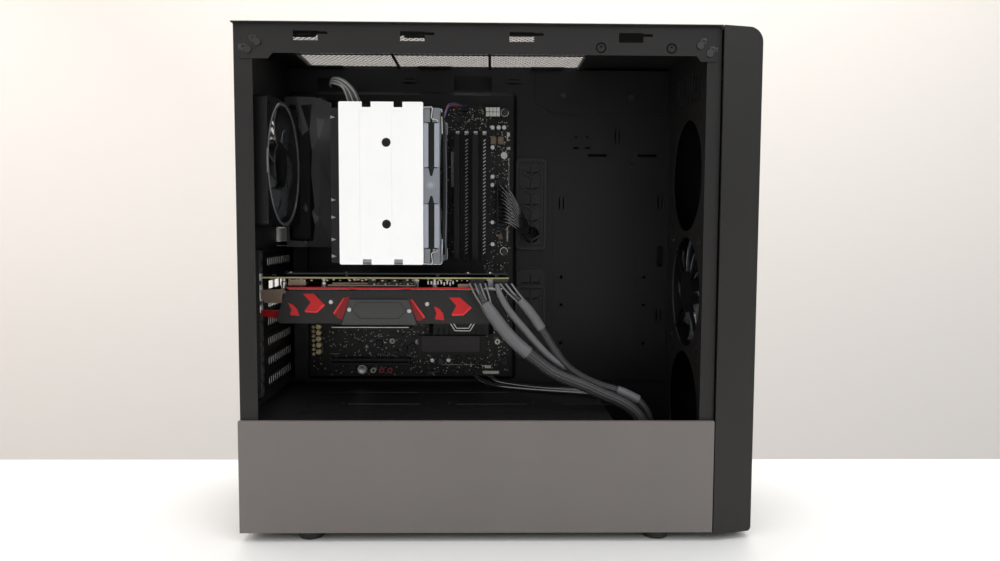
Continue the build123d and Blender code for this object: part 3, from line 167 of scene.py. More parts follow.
def finish(name, color, rough, metal=0.0, grain=900.0, bump=0.05, spread=0.12, coat=0.0, stretch=None,
           shine=0.3):
    """A moulded, painted or bare surface: colour and gloss vary with a fine grain and a soft mottle."""
    material, tree, shader = nodes_of(name)
    place = add_node(tree, "TexCoord", {}).outputs["Object"]
    scaled = add_node(tree, "Mapping", {"Scale": stretch or (1, 1, 1), "Vector": place}).outputs["Vector"]
    fine = add_node(tree, "TexNoise", {"Scale": grain, "Detail": 3, "Vector": scaled}).outputs["Fac"]
    soft = add_node(tree, "TexNoise", {"Scale": 14, "Detail": 4, "Vector": place}).outputs["Fac"]
    blend = add_math(tree, "MULTIPLY_ADD", fine, 0.5, add_math(tree, "MULTIPLY", soft, 0.5))
    ramp = add_node(tree, "ValToRGB", {"Fac": blend})
    low = [c * (1 - spread) for c in color]
    high = [min(1, c * (1 + spread)) for c in color]
    ramp.color_ramp.elements[0].position = 0.3
    ramp.color_ramp.elements[1].position = 0.7
    ramp.color_ramp.elements[0].color = (*low, 1)
    ramp.color_ramp.elements[1].color = (*high, 1)
    gloss = add_node(tree, "MapRange", {
        "To Min": max(0.03, rough - 0.08), "To Max": min(1, rough + 0.08), "Value": blend}).outputs["Result"]
    relief = add_node(tree, "Bump", {"Strength": bump, "Distance": 0.0004, "Height": fine}).outputs["Normal"]
    feed(tree, shader, {
        "Base Color": ramp.outputs["Color"], "Roughness": gloss, "Metallic": metal,
        "Specular IOR Level": shine, "Coat Weight": coat, "Normal": relief})
    return material


powder_coat = finish("charcoal_powder_coat", (0.016, 0.0148, 0.0143), 0.5, grain=2600, bump=0.35)
inner_coat = finish("inner_powder_coat", (0.0062, 0.0062, 0.0065), 0.46, grain=2600, bump=0.3)
# Painted reflection: the side cover's grey is far lighter than the black coat and stands in for the white
# table it reflects.
cover_coat_and_reflection = finish("cover_coat_painted_reflection", (0.165, 0.15, 0.141), 0.5, grain=2600, bump=0.3, spread=0.05)
panel_plastic = finish("front_panel_plastic", (0.017, 0.0158, 0.0148), 0.42, grain=3200, bump=0.25)
black_plastic = finish("black_plastic", (0.0045, 0.0045, 0.005), 0.36, grain=1500, bump=0.12)
smoke_plastic = finish("smoke_gloss_plastic", (0.02, 0.0205, 0.022), 0.08, grain=400, bump=0.0, coat=0.5)
soft_rubber = finish("grommet_rubber", (0.02, 0.02, 0.02), 0.5, grain=1800, bump=0.2)
white_coat = finish("white_powder_coat", (0.93, 0.93, 0.93), 0.4, grain=2600, bump=0.12, spread=0.02)
# The fins' base is far darker than bare aluminium: a painted dark reflection of their black surroundings.
fin_metal = finish("fin_aluminium", (0.4, 0.41, 0.42), 0.2, metal=1.0, grain=600, bump=0.06,
                   stretch=(1, 1, 12))
plated_steel = finish("plated_steel", (0.56, 0.56, 0.55), 0.3, metal=1.0, grain=800, bump=0.06)
dark_screw = finish("dark_screw_steel", (0.06, 0.06, 0.06), 0.35, metal=0.8, grain=900, bump=0.08)
bare_brass = finish("bare_brass", (0.72, 0.52, 0.2), 0.28, metal=1.0, grain=900, bump=0.05)
pipe_metal = finish("nickelled_pipe", (0.6, 0.5, 0.44), 0.2, metal=1.0, grain=500, bump=0.02)
grey_fan = finish("blue_grey_plastic", (0.3, 0.325, 0.37), 0.4, grain=1500, bump=0.1, spread=0.06)
ivory_plastic = finish("ivory_plastic", (0.62, 0.61, 0.57), 0.4, grain=1500, bump=0.08, spread=0.05)
card_grey = finish("card_dark_grey", (0.016, 0.0148, 0.0142), 0.42, grain=2200, bump=0.18)
badge_grey = finish("badge_grey", (0.05, 0.05, 0.049), 0.38, grain=2400, bump=0.12)
accent_red = finish("accent_red", (0.5, 0.003, 0.006), 0.45, grain=1500, bump=0.06, spread=0.06, coat=0.3)
armour_grey = finish("armour_grey", (0.005, 0.005, 0.0055), 0.36, grain=1600, bump=0.1)
net_black = finish("filter_net", (0.008, 0.008, 0.008), 0.6, grain=2500, bump=0.4)


def circuit(name, base, line):
    """Solder mask over fine copper tracks, which show only in scattered patches."""
    material = finish(name, base, 0.38, grain=1500, bump=0.05)
    tree = material.node_tree
    shader = tree.nodes["Principled BSDF"]
    place = next(n for n in tree.nodes if n.type == "TEX_COORD").outputs["Object"]
    ramp = next(n for n in tree.nodes if n.type == "VALTORGB")
    flat = add_node(tree, "Mapping", {"Rotation": (math.radians(90), 0, 0),
                                      "Vector": place}).outputs["Vector"]
    tracks = add_node(tree, "TexBrick", {
        "Scale": 130, "Mortar Size": 0.035, "Brick Width": 1.6, "Color1": (0, 0, 0, 1),
        "Color2": (0, 0, 0, 1),
        "Mortar": (1, 1, 1, 1), "Vector": flat}).outputs["Color"]
    patches = add_node(tree, "TexVoronoi", {"Scale": 60, "Vector": place}).outputs["Distance"]
    both = add_math(tree, "MULTIPLY", tracks, add_math(tree, "GREATER_THAN", patches, 0.5))
    mix = add_node(tree, "Mix", {}, data_type="RGBA")
    feed(tree, mix, {"Factor": both, "A": ramp.outputs["Color"], "B": (*line, 1)})
    feed(tree, shader, {"Base Color": mix.outputs["Result"]})
    return material


board_black = circuit("board_black", (0.0035, 0.003, 0.0028), (0.014, 0.012, 0.01))
card_board = circuit("card_board", (0.005, 0.0045, 0.004), (0.03, 0.027, 0.018))

# Each CAD node that is shown as it stands gets its finish here.
wear = {
    powder_coat: "rear_panel front_wall top_frame right_side_panel floor_pan",
    cover_coat_and_reflection: "shroud_side_cover",
    inner_coat: "motherboard_tray tray_bracket psu_shroud_top slot_covers psu_case",
    panel_plastic: "front_bezel",
    black_plastic: "exhaust_fan_frame intake_fan_frame dimm_slots pcie_slots board_sockets "
    "front_io_ports gpu_power_plugs psu_fan_rotor gpu_fan_rotor_1 gpu_fan_rotor_2 psu_switch "
    "power_button reset_button board_leads",
    smoke_plastic: "exhaust_fan_rotor intake_fan_rotor cooler_fan_rotor",
    soft_rubber: "cable_grommets feet",
    white_coat: "cooler_cover",
    fin_metal: "fin_stack gpu_heatsink",
    plated_steel: "io_ports io_shield fan_clips gpu_bracket",
    dark_screw: "case_fasteners",
    bare_brass: "board_standoffs",
    pipe_metal: "cooler_base",
    grey_fan: "cooler_fan_frame",
    ivory_plastic: "dimm_latch_1 dimm_latch_2 dimm_latch_3 dimm_latch_4",
    card_grey: "gpu_shroud",
    badge_grey: "gpu_badge",
    armour_grey: "io_armour chipset_heatsink ram_sticks m2_drive",
    board_black: "motherboard_pcb",
    card_board: "gpu_pcb",
    net_black: "top_dust_filter psu_dust_filter front_mesh",
}


def dress(target, material):
    """Give an object one finish, in its own slot."""
    target.data.materials.clear()
    target.data.materials.append(material)


for material, names in wear.items():
    for name in names.split():
        dress(frame["nodes"][name], material)

# ------------------------------------------------------------------ roof mesh
# The steel roof pan is punched with small hexagons over its fan bays, in one press stroke. Three
# oblong fan slots on each side interrupt the pattern, each with a plain steel bridge round it.


def choose(pieces):
    """Select just these pieces and make the first active."""
    for other in bpy.context.selected_objects:
        other.select_set(False)
    for piece in pieces:
        piece.select_set(True)
    bpy.context.view_layer.objects.active = pieces[0]


def settle(piece, name, body, slot, material):
    """Apply a piece's modifiers and place to its mesh, name it, and fix it to a body."""
    choose([piece])
    bpy.ops.object.convert(target="MESH")
    bpy.ops.object.transform_apply(location=True, rotation=True, scale=True)
    piece.select_set(False)
    piece.name = name
    piece.data.name = name
    dress(piece, material)
    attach(piece, body)
    return piece


def set_at(piece, centre, turn):
    """Move a piece to its place, in millimetres, and turn it."""
    piece.matrix_world = Matrix.Translation(Vector(centre) * MM) @ turn.to_4x4()


def hexagon_sheet(name, centre, size, pitch, web, turn, fixing):
    """A punched sheet: one pair of hexagon cells, pressed again and again both ways."""
    bpy.ops.mesh.primitive_circle_add(vertices=6, radius=pitch / math.sqrt(3) * MM, fill_type="NGON")
    piece = bpy.context.object
    bpy.ops.object.mode_set(mode="EDIT")
    bpy.ops.mesh.inset(thickness=web / 2 * MM)
    bpy.ops.mesh.delete(type="ONLY_FACE")
    bpy.ops.mesh.select_all(action="SELECT")
    row = pitch * math.sqrt(3)
    bpy.ops.mesh.duplicate_move(TRANSFORM_OT_translate={"value": (pitch / 2 * MM, row / 2 * MM, 0)})
    bpy.ops.object.mode_set(mode="OBJECT")
    counts = int(size[0] / pitch), int(size[1] / row)
    for count, step in zip(counts, ((pitch * MM, 0, 0), (0, row * MM, 0))):
        rows = piece.modifiers.new("rows", "ARRAY")
        rows.use_relative_offset = False
        rows.use_constant_offset = True
        rows.constant_offset_displace = step
        rows.count = count
    corner = Vector((-(counts[0] - 0.5) * pitch / 2, -(counts[1] - 0.5) * row / 2, 0)) * MM
    place = Matrix.Translation(Vector(centre) * MM) @ turn.to_4x4()
    piece.matrix_world = place @ Matrix.Translation(corner)
    return settle(piece, name, *fixing)


def block(name, low, high, soft, fixing, segments=2):
    """A moulded or cut block between two corners, with its edges rounded."""
    middle = [(a + b) / 2 * MM for a, b in zip(low, high)]
    bpy.ops.mesh.primitive_cube_add(size=1, location=middle)
    piece = bpy.context.object
    piece.scale = [(b - a) * MM for a, b in zip(low, high)]
    bpy.ops.object.transform_apply(location=False, rotation=False, scale=True)
    edge = piece.modifiers.new("edge", "BEVEL")
    edge.width = soft * MM
    edge.segments = segments
    return settle(piece, name, *fixing)


def joined(name, pieces, body):
    """Several like pieces welded into one, which keeps the first one's finish."""
    choose(pieces)
    bpy.ops.object.join()
    whole = bpy.context.object
    whole.select_set(False)
    whole.name = name
    whole.data.name = name
    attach(whole, body)
    return whole


def box_mm(node):
    """The low and high corners of a CAD node, in millimetres."""
    return [[v / MM for v in corner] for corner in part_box(node)]


flat_turn = Matrix.Identity(3)
side_turn = Matrix.Rotation(math.radians(90), 3, "X")
cross_turn = Matrix.Rotation(math.radians(90), 3, "Z") @ side_turn
steel_case = ("case", "steel", inner_coat)
rail_fix = ("case", "steel", powder_coat)
hexagon_sheet("roof_mesh", (-59, 9, 469.6), (312, 176), 5.3, 1.35, flat_turn, steel_case)
bridges = []
for edge_y, near in ((76, 1), (-66, -1)):
    for centre_x in (-191, -70, 56):
        for inner, low_z in ((0, 468.4), (9 * near, 468.4)):
            bridges.append(
                block("bridge", (centre_x - 19, edge_y - 5 + inner, low_z),
                      (centre_x + 19, edge_y + 3 + inner, 469.8),
                      1.4, steel_case)
            )
joined("roof_fan_slots", bridges, "case")

# ------------------------------------------------------------------ top dust filter
# A magnetic strip frame with a woven nylon net glued to it. It lies in the roof's shallow bed and
# lifts straight off. The net is so fine that light comes through it.
net_mesh, tree, shader = nodes_of("nylon_net")
place = add_node(tree, "TexCoord", {}).outputs["Object"]
split = add_node(tree, "SeparateXYZ", {"Vector": place})
threads = []
for axis in "XY":
    wave = add_math(tree, "PINGPONG", split.outputs[axis], 0.0006)
    threads.append(add_math(tree, "LESS_THAN", wave, 0.00014))
woven = add_math(tree, "MAXIMUM", *threads)
feed(tree, shader, {"Alpha": woven, "Base Color": (0.03, 0.03, 0.03, 1), "Roughness": 0.6})

low, high = box_mm("top_dust_filter")
rim = 7
strips = []
for a, b in (
    ((low[0], low[1]), (high[0], low[1] + rim)),
    ((low[0], high[1] - rim), (high[0], high[1])),
    ((low[0], low[1] + rim), (low[0] + rim, high[1] - rim)),
    ((high[0] - rim, low[1] + rim), (high[0], high[1] - rim)),
):
    strips.append(block("strip", (*a, low[2]), (*b, high[2]), 0.3, ("top_filter", "filter", soft_rubber)))
joined("top_filter_rim", strips, "top_filter")
bpy.ops.mesh.primitive_grid_add(x_subdivisions=24, y_subdivisions=14, size=1)
net = bpy.context.object
net.scale = ((high[0] - low[0] - rim) * MM, (high[1] - low[1] - rim) * MM, 1)
net.location = ((low[0] + high[0]) / 2 * MM, (low[1] + high[1]) / 2 * MM, (low[2] + high[2]) / 2 * MM)
settle(net, "top_filter_net", "top_filter", "filter", net_mesh)
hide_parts("top_dust_filter")

# ------------------------------------------------------------------ fans
# Each fan is an injection-moulded frame with a press-fitted motor, and a rotor whose glossy blades
# sweep forward from a plain cap. The blades are thin, cambered and pitched more at the hub.


def meshed(name, verts, edges, faces):
    """A new object from bare mesh data."""
    mesh = bpy.data.meshes.new(name)
    mesh.from_pydata(verts, edges, faces)
    return put(name, mesh)


def lathed(name, centre, turn, profile, fixing, steps=48):
    """A turned shape: its section, as radius and height, is swept once round the axis."""
    verts = [(r * MM, 0, h * MM) for r, h in profile]
    piece = meshed(name, verts, [(i, i + 1) for i in range(len(verts) - 1)], [])
    sweep = piece.modifiers.new("sweep", "SCREW")
    sweep.steps = steps
    sweep.render_steps = steps
    sweep.use_merge_vertices = True
    sweep.merge_threshold = WELD
    sweep.use_smooth_shade = True
    set_at(piece, centre, turn)
    settle(piece, name, *fixing)
    face_out(piece)
    choose([piece])
    bpy.ops.object.shade_smooth_by_angle(angle=math.radians(35))
    piece.select_set(False)
    return piece


def face_out(piece):
    """Close the poles and turn every face outwards."""
    shell = bmesh.new()
    shell.from_mesh(piece.data)
    bmesh.ops.remove_doubles(shell, verts=shell.verts, dist=WELD)
    bmesh.ops.recalc_face_normals(shell, faces=shell.faces)
    shell.to_mesh(piece.data)
    shell.free()


def blade_ring(name, centre, turn, hub, tip, depth, count, sweep, fixing, sense=1):
    """Pitched, swept and cambered blades round a hub, moulded in one piece with it."""
    verts, faces = [], []
    along, across_count = 9, 7
    share = 0.9 * 2 * math.pi / count
    for blade in range(count):
        base = len(verts)
        for i in range(along):
            u = i / (along - 1)
            radius = hub - 0.6 + (tip - hub + 0.6) * u
            chord = share * (1.0 - 0.1 * u)
            lead = sweep * u * u
            for j in range(across_count):
                v = j / (across_count - 1)
                angle = sense * (2 * math.pi * blade / count + lead + chord * (v - 0.5))
                rise = depth * (0.5 - v) * (1.0 - 0.25 * u) + depth * 0.14 * math.sin(math.pi * v)
                verts.append((radius * math.cos(angle) * MM, radius * math.sin(angle) * MM, rise * MM))
        for i in range(along - 1):
            for j in range(across_count - 1):
                a = base + i * across_count + j
                faces.append((a, a + 1, a + across_count + 1, a + across_count))
    piece = meshed(name, verts, [], faces)
    wall = piece.modifiers.new("wall", "SOLIDIFY")
    wall.thickness = 1.1 * MM
    wall.offset = 0
    set_at(piece, centre, turn)
    settle(piece, name, *fixing)
    face_out(piece)
    piece.data.shade_smooth()
    return piece


exhaust_centre = (-224.5, -28.5, 352)
intake_centre = (209.5, 0, 225)
# Painted highlight: a light grey for the chamfer ring of the black fan frames.
fan_ring_highlight_paint = finish("fan_ring_painted_highlight", (0.16, 0.16, 0.165), 0.14, grain=500, bump=0.0, coat=0.6, shine=0.7)
smoke_clear = finish("smoke_clear_plastic", (0.085, 0.09, 0.095), 0.1, grain=400, bump=0.0, coat=0.8,
                     shine=0.8)
fans = (
    ("exhaust_fan", exhaust_centre, cross_turn, 56.5, 23, 20, 7, "exhaust_rotor", "smoke_plastic",
     "exhaust_fan_rotor"),
    ("intake_fan", intake_centre, cross_turn, 56.5, 21, 20, 9, "intake_rotor", "smoke_plastic",
     "intake_fan_rotor"),
)
for name, centre, turn, tip, hub, depth, count, body, slot, node in fans:
    fixing = (body, slot, smoke_clear)
    cap = lathed(
        name + "_hub", centre, turn,
        [(0, depth / 2), (hub - 2.2, depth / 2), (hub - 0.6, depth / 2 - 0.7), (hub, depth / 2 - 2.2),
         (hub, -depth / 2), (hub - 1.6, -depth / 2), (hub - 1.6, depth / 2 - 2), (0, depth / 2 - 2)],
        (body, slot, black_plastic),
    )
    blades = blade_ring(name + "_blades", centre, turn, hub, tip, depth * 0.86, count, 0.55, fixing,
                        -1 if name == "exhaust_fan" else 1)
    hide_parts(node)
    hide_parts(node)
# Each case fan gets a light grey rim ring, which is painted highlight on its frame's chamfer.
for name, centre, face in (("exhaust_fan", exhaust_centre, 12.6), ("intake_fan", intake_centre, -12.6)):
    lathed(
        name + "_bright_ring", centre, cross_turn,
        [(57.4, face * 0.96), (58.2, face * 1.03), (60.0, face * 1.04), (61.0, face * 0.99),
         (61.0, face * 0.93), (57.4, face * 0.93), (57.4, face * 0.96)],
        ("case", "fan_plastic", fan_ring_highlight_paint), 72,
    )

# ------------------------------------------------------------------ processor cooler
# A tower of pressed aluminium fins on heat pipes under a white painted steel cover. A slim fan in a
# blue-grey frame is held on the front by spring wire clips, and its lead goes over the top.


def cut_sheet(name, outlines, thick, turn, at, fixing, soft=0.12):
    """Sheet cut to outlines: the first is its rim and the others are holes. Turned to its side."""
    curve = bpy.data.curves.new(name, "CURVE")
    curve.dimensions = "2D"
    curve.fill_mode = "BOTH"
    curve.extrude = (thick / 2 - soft) * MM
    curve.bevel_depth = soft * MM
    curve.offset = -soft * MM
    for outline in outlines:
        line = curve.splines.new("POLY")
        line.points.add(len(outline) - 1)
        for point, (u, v) in zip(line.points, outline):
            point.co = (u * MM, v * MM, 0, 1)
        line.use_cyclic_u = True
    piece = put(name, curve)
    set_at(piece, at, turn)
    return settle(piece, name, *fixing)


def box_outline(u0, v0, u1, v1):
    """A rectangle between two corners, as an outline."""
    return [(u0, v0), (u1, v0), (u1, v1), (u0, v1)]


grey_fixing = ("case", "grey_plastic", grey_fan)
dark_fixing = ("case", "fan_plastic", black_plastic)
dark_slate = finish("fan_end_grey", (0.17, 0.18, 0.19), 0.42, grain=1500, bump=0.1, spread=0.06)
fan_waist = finish("fan_waist_grey", (0.2, 0.215, 0.24), 0.36, grain=1500, bump=0.08, spread=0.06)
block("cooler_fan_slot_backing", (-67, -85.35, 259), (-57.5, -84.9, 400), 0.05, dark_fixing)
for half, low_z, high_z in (("upper", 346.4, 386.6), ("lower", 272, 312.4)):
    for side, low_x, high_x in (("rear", -69.8, -65.3), ("front", -59.9, -55.2)):
        block("cooler_fan_bar_" + half + "_" + side, (low_x, -87.2, low_z), (high_x, -84.9, high_z), 0.7,
              grey_fixing)
waist = [(-69.8, 313.2), (-65.4, 313.2), (-63.6, 320), (-61.8, 320), (-60, 313.2), (-55.2, 313.2),
         (-55.2, 345.6), (-60, 345.6), (-61.8, 338.4), (-63.6, 338.4), (-65.4, 345.6), (-69.8, 345.6)]
cut_sheet("cooler_fan_waist", [waist], 1.6, side_turn, (0, -85.7, 0), ("case", "grey_plastic", fan_waist),
          0.3)
for label, low_z, high_z in (("upper", 387.4, 400.6), ("lower", 257.4, 271.2)):
    for side, low_x, high_x in (("rear", -69.6, -63.6), ("front", -61.6, -55.4)):
        block("cooler_fan_end_" + label + "_" + side, (low_x, -86.6, low_z), (high_x, -84.9, high_z), 0.7,
              ("case", "grey_plastic", dark_slate))
lathed("cooler_fan_boss", (-63.2, -86.2, 329.9), side_turn,
       [(0, 0.5), (2.2, 0.5), (2.5, 0.2), (3.1, 0.2), (3.4, 0.6), (3.8, 0.6), (4.0, 0), (4.0, -0.4)],
       grey_fixing, 40)
# Painted shade: a black cup in each hole of the cooler cover, for the dark seen through it.
for label, height_z in (("upper", 368.8), ("lower", 293.9)):
    lathed("cover_hole_shade_" + label, (-104, -86.4, height_z), side_turn,
           [(0, -1.5), (3.2, -1.5), (4.6, -0.6), (4.7, 0.3)],
           ("case", "aluminium", black_plastic), 32)
blades = blade_ring("cooler_fan_blades", (-62, -16.7, 329), cross_turn, 21, 62, 9.5, 11, 0.5,
                    ("cooler_rotor", "smoke_plastic", smoke_plastic))
cap = lathed("cooler_fan_hub", (-62, -16.7, 329), cross_turn,
             [(0, 5.4), (19, 5.4), (20.6, 4.6), (21.2, 3.2), (21.2, -5.2), (19.6, -5.2), (19.6, 3.6),
              (0, 3.6)],
             ("cooler_rotor", "smoke_plastic", black_plastic))
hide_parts("cooler_fan_rotor")
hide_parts("cooler_fan_rotor")

# ------------------------------------------------------------------ motherboard parts
# Reflowed parts stand all over the black board: resistors and chips by the hundred, can capacitors,
# chokes, headers and screws. Gold-sleeved audio capacitors stand beside the sound section.
chip_body = finish("chip_black", (0.02, 0.02, 0.021), 0.45, grain=1500, bump=0.06)
beige_part = finish("ceramic_beige", (0.55, 0.48, 0.36), 0.5, grain=1500, bump=0.05, spread=0.3)
brown_part = finish("choke_brown", (0.2, 0.15, 0.1), 0.5, grain=1500, bump=0.1, spread=0.2)
solder = finish("solder_tin", (0.6, 0.6, 0.58), 0.3, metal=1.0, grain=1200, bump=0.05)
gold_can = finish("gold_sleeve", (0.62, 0.52, 0.3), 0.3, metal=0.5, grain=1000, bump=0.04)
white_part = finish("header_white", (0.7, 0.7, 0.66), 0.42, grain=1500, bump=0.06, spread=0.06)
silk_ink = finish("silk_white", (0.5, 0.5, 0.47), 0.6, grain=2500, bump=0.05, spread=0.15)
red_jack = finish("jack_red", (0.45, 0.08, 0.09), 0.4, grain=1500, bump=0.05)
chip_fix, beige_fix, tin_fix = [("case", "board", paint) for paint in (chip_body, beige_part, solder)]


def spread(name, model, spots, fixing):
    """Copies of one small part at many places, as x, z, quarter turns and scale, on the board."""
    verts, faces = [], []
    for x, y, z, quarter, scale in spots:
        base = len(verts)
        spin = Matrix.Rotation(quarter * math.pi / 2, 3, "Y")
        for vert in model.data.vertices:
            verts.append((spin @ vert.co) * scale + Vector((x, y, z)) * MM)
        faces.extend([base + i for i in face.vertices] for face in model.data.polygons)
    piece = meshed(name, verts, [], faces)
    bpy.data.objects.remove(model)
    return settle(piece, name, *fixing)


board_y = box_mm("motherboard_pcb")[0][1]
draw = random.Random(31)
zones = (
    (-1.0, 14, 268, 410, 260), (-52, -3, 399.5, 425, 170), (-8.5, -1, 262, 398, 70),
    (-222, -190, 126, 176, 26), (-188, -14, 123.5, 146, 280),
    (-190, -92, 142, 176, 170), (-90, -6, 171, 205, 60), (-192, -20, 183, 236, 120), (-14, 14, 124, 262, 190),
    (-150, -52, 399.5, 424, 70), (-58, -49, 262, 398, 36),
)
counts = {"resistors": [], "ceramics": [], "small_chips": [], "pads": []}
for x0, x1, z0, z1, number in zones:
    for _ in range(number):
        x, z = draw.uniform(x0, x1), draw.uniform(z0, z1)
        kind = draw.choices(list(counts), (5, 4, 1.1, 3))[0]
        counts[kind].append((round(x / 0.9) * 0.9, board_y - 0.25, round(z / 0.9) * 0.9, draw.choice((0, 1)),
                             draw.uniform(0.75, 1.25)))


def small_part(long, tall, deep):
    """A model for spread: one small chip with its edges broken."""
    bpy.ops.mesh.primitive_cube_add(size=1, location=(0, 0, 0))
    piece = bpy.context.object
    piece.scale = (long * MM, deep * MM, tall * MM)
    bpy.ops.object.transform_apply(scale=True)
    bpy.ops.object.mode_set(mode="EDIT")
    bpy.ops.mesh.bevel(offset=0.12 * min(long, tall) * MM, segments=1)
    bpy.ops.object.mode_set(mode="OBJECT")
    return piece


spread("resistors", small_part(1.5, 0.8, 0.55), counts["resistors"], chip_fix)
spread("ceramic_capacitors", small_part(1.3, 0.75, 0.8), counts["ceramics"], beige_fix)
spread("small_chips", small_part(3.4, 2.7, 1.0), counts["small_chips"], chip_fix)
spread("solder_pads", small_part(1.15, 0.5, 0.42), counts["pads"], tin_fix)
spread("resistor_ends", small_part(0.3, 0.82, 0.57),
       [(x + dx, y, z, 0, s) for x, y, z, quarter, s in counts["resistors"]
        if quarter == 0 for dx in (-0.72 * s, 0.72 * s)],
       tin_fix)

chips = [
    (-132.8, 159, 7.6, 7.6), (-104, 153.5, 7, 7), (-113.5, 150.5, 4.6, 5), (-163, 133, 9, 9),
    (-66, 128, 5.6, 7), (-35, 126.8, 4, 6),
    (-29.8, 146.5, 6, 7), (-43, 143, 5, 6), (-22, 138, 6, 5), (-44, 411, 6.5, 8), (-29, 407.5, 4.5, 8.5),
    (-96, 411, 7, 5), (3, 300, 4, 5), (-150, 208, 8, 8), (-88, 213, 6, 6), (5.5, 232, 5, 5),
]
spread("square_chips", small_part(7, 7, 1.5), [(x, board_y - 0.7, z, 0, w / 7) for x, z, w, h in chips],
       chip_fix)
bpy.ops.mesh.primitive_cylinder_add(vertices=20, radius=2.4 * MM, depth=6 * MM,
                                    rotation=(math.radians(90), 0, 0))
can = bpy.context.object
bpy.ops.object.transform_apply(rotation=True)
bpy.ops.object.mode_set(mode="EDIT")
bpy.ops.mesh.bevel(offset=0.35 * MM, segments=2)
bpy.ops.object.mode_set(mode="OBJECT")
can_model = can.data.copy()
cans = [(-5.4, 401.8), (1.5, 401.8), (7.5, 401.9), (-5.3, 379.9), (-5.2, 347.5), (-5.2, 338.3), (-5.0, 296.8),
        (-4.9, 272.3), (-72.6, 140.7), (-54.1, 140.8), (1.2, 214), (-196, 205), (-189, 212)]
spread("can_capacitors", can, [(x, board_y - 3, z, 0, 1) for x, z in cans], tin_fix)


def can_copy():
    """A model for spread: the can again."""
    return put("can", can_model.copy())


small_gold = [(-206.2, z) for z in (178.3, 173.1, 167.9, 162.9, 157.7, 152.7, 147.6)]
large_gold = [(-200.1, z) for z in (178.7, 172.0, 165.2, 157.9, 150.6)]
spread("gold_capacitors", can_copy(),
       [(x, board_y - 2.6, z, 0, 0.78) for x, z in small_gold]
       + [(x, board_y - 3.6, z, 0, 1.3) for x, z in large_gold],
       ("case", "brass", gold_can))
spread("chokes", small_part(6.4, 8.4, 4.5),
       [(-4.3, board_y - 2.2, 387.8, 0, 1), (3.9, board_y - 2.2, 387.8, 0, 1),
        (-188, board_y - 2.2, 195, 0, 1),
        (4, board_y - 2.2, 281, 0, 0.8), (-113, board_y - 2.2, 415, 0, 0.9),
        (-103, board_y - 2.2, 420, 0, 0.9)],
       ("case", "board", brown_part))
lathed("crystal_can", (-146.8, board_y, 155.6), side_turn, [(0, 2.2), (1.3, 2.2), (1.8, 1.7), (1.8, 0)],
       beige_fix, 24)
for index, (x, z) in enumerate(((8.3, 418.8), (8.0, 264.3))):
    lathed("board_screw_%d" % (index + 1), (x, board_y, z), side_turn,
           [(0, 0.5), (1.0, 0.5), (1.2, 1.5), (2.6, 1.2), (3.2, 0.5), (3.3, 0.2), (3.7, 0.2), (4.4, 0.3),
            (4.5, 0)],
           ("case", "screw", dark_screw), 32)
    lathed("board_screw_land_%d" % (index + 1), (x, board_y, z), side_turn,
           [(3.7, 0.1), (3.8, 0.35), (4.4, 0.35), (4.5, 0.1)],
           tin_fix, 32)
for index, (x, z) in enumerate(((-118.1, 162.2), (-88.8, 161.4), (1.1, 161.5))):
    lathed("drive_post_%d" % (index + 1), (x, board_y, z), side_turn,
           [(1.2, 0.2), (1.2, 2.2), (1.5, 2.5), (2.7, 2.5), (3.1, 2.1), (3.1, 0.1)],
           ("case", "brass", white_part), 32)
lathed("board_button", (7.7, board_y, 371.4), side_turn,
       [(0, 3.4), (1.5, 3.4), (1.8, 3.0), (1.8, 2.0), (2.9, 2.0), (3.0, 2.6), (3.6, 2.6), (3.8, 2.0),
        (3.8, 0)],
       tin_fix, 32)
lathed("sounder", (-151.6, board_y, 130.3), side_turn,
       [(0, 5.6), (1.1, 5.6), (1.3, 6.6), (3.6, 6.9), (4.2, 6.2), (5.0, 6.2), (5.4, 5.4), (5.4, 0)], tin_fix,
       40)
for index, (x, material) in enumerate(((-139.3, white_part), (-129.9, red_jack), (-120.7, red_jack))):
    lathed("jack_%d" % (index + 1), (x, board_y, 129), side_turn,
           [(1.7, 1.0), (1.7, 5.4), (2.0, 5.8), (2.6, 5.8), (3.0, 5.2), (3.0, 0)],
           ("case", "board", material), 32)
    lathed("jack_well_%d" % (index + 1), (x, board_y, 129), side_turn, [(0, 2.0), (1.75, 2.0)], chip_fix, 24)
lathed("round_sounder", (9.0, board_y, 140.9), side_turn,
       [(0, 3.2), (1.0, 3.2), (1.1, 5.8), (3.6, 6.0), (4.2, 5.4), (4.2, 0)], chip_fix, 32)
pins = []
for column in (-34.0, -14.2):
    for index in range(33):
        z = 262 + index * 3.9
        pins.append((column - 0.7, board_y - 7.3, z, 0, 1))
        pins.append((column + 0.7, board_y - 7.3, z + 1.1, 0, 1))
spread("slot_contacts", small_part(1.45, 1.3, 0.7), pins, ("case", "ivory", white_part))
white_headers = []
for x in (-10.9, -6.9, -3.0, 0.9):
    for z in (415.3, 420.4):
        white_headers.append(block("cell", (x - 1.8, 56.2, z - 2.3), (x + 1.8, 58.4, z + 2.3), 0.5,
                                   ("case", "ivory", white_part)))
joined("power_header_cells", white_headers, "case")
silk = []
for u0, v0, u1, v1 in (
    (-51.6, 336, -48.4, 375.5), (13.0, 333, 13.4, 368), (11, 367.6, 14.4, 368), (11, 333, 14.4, 333.4),
    (10.6, 378, 14.6, 381), (10.8, 388, 14.2, 397), (-46, 146.9, -18, 147.3), (-190, 147, -178, 147.4),
    (-62, 134.8, -20, 135.2), (11, 276, 12.6, 292), (-15, 124.4, 3, 127.8), (-16, 131, -6, 134.2),
):
    silk.append(block("ink", (u0, board_y - 0.16, v0), (u1, board_y - 0.01, v1), 0.02,
                      ("case", "board", silk_ink)))
joined("silk_lines", silk, "case")
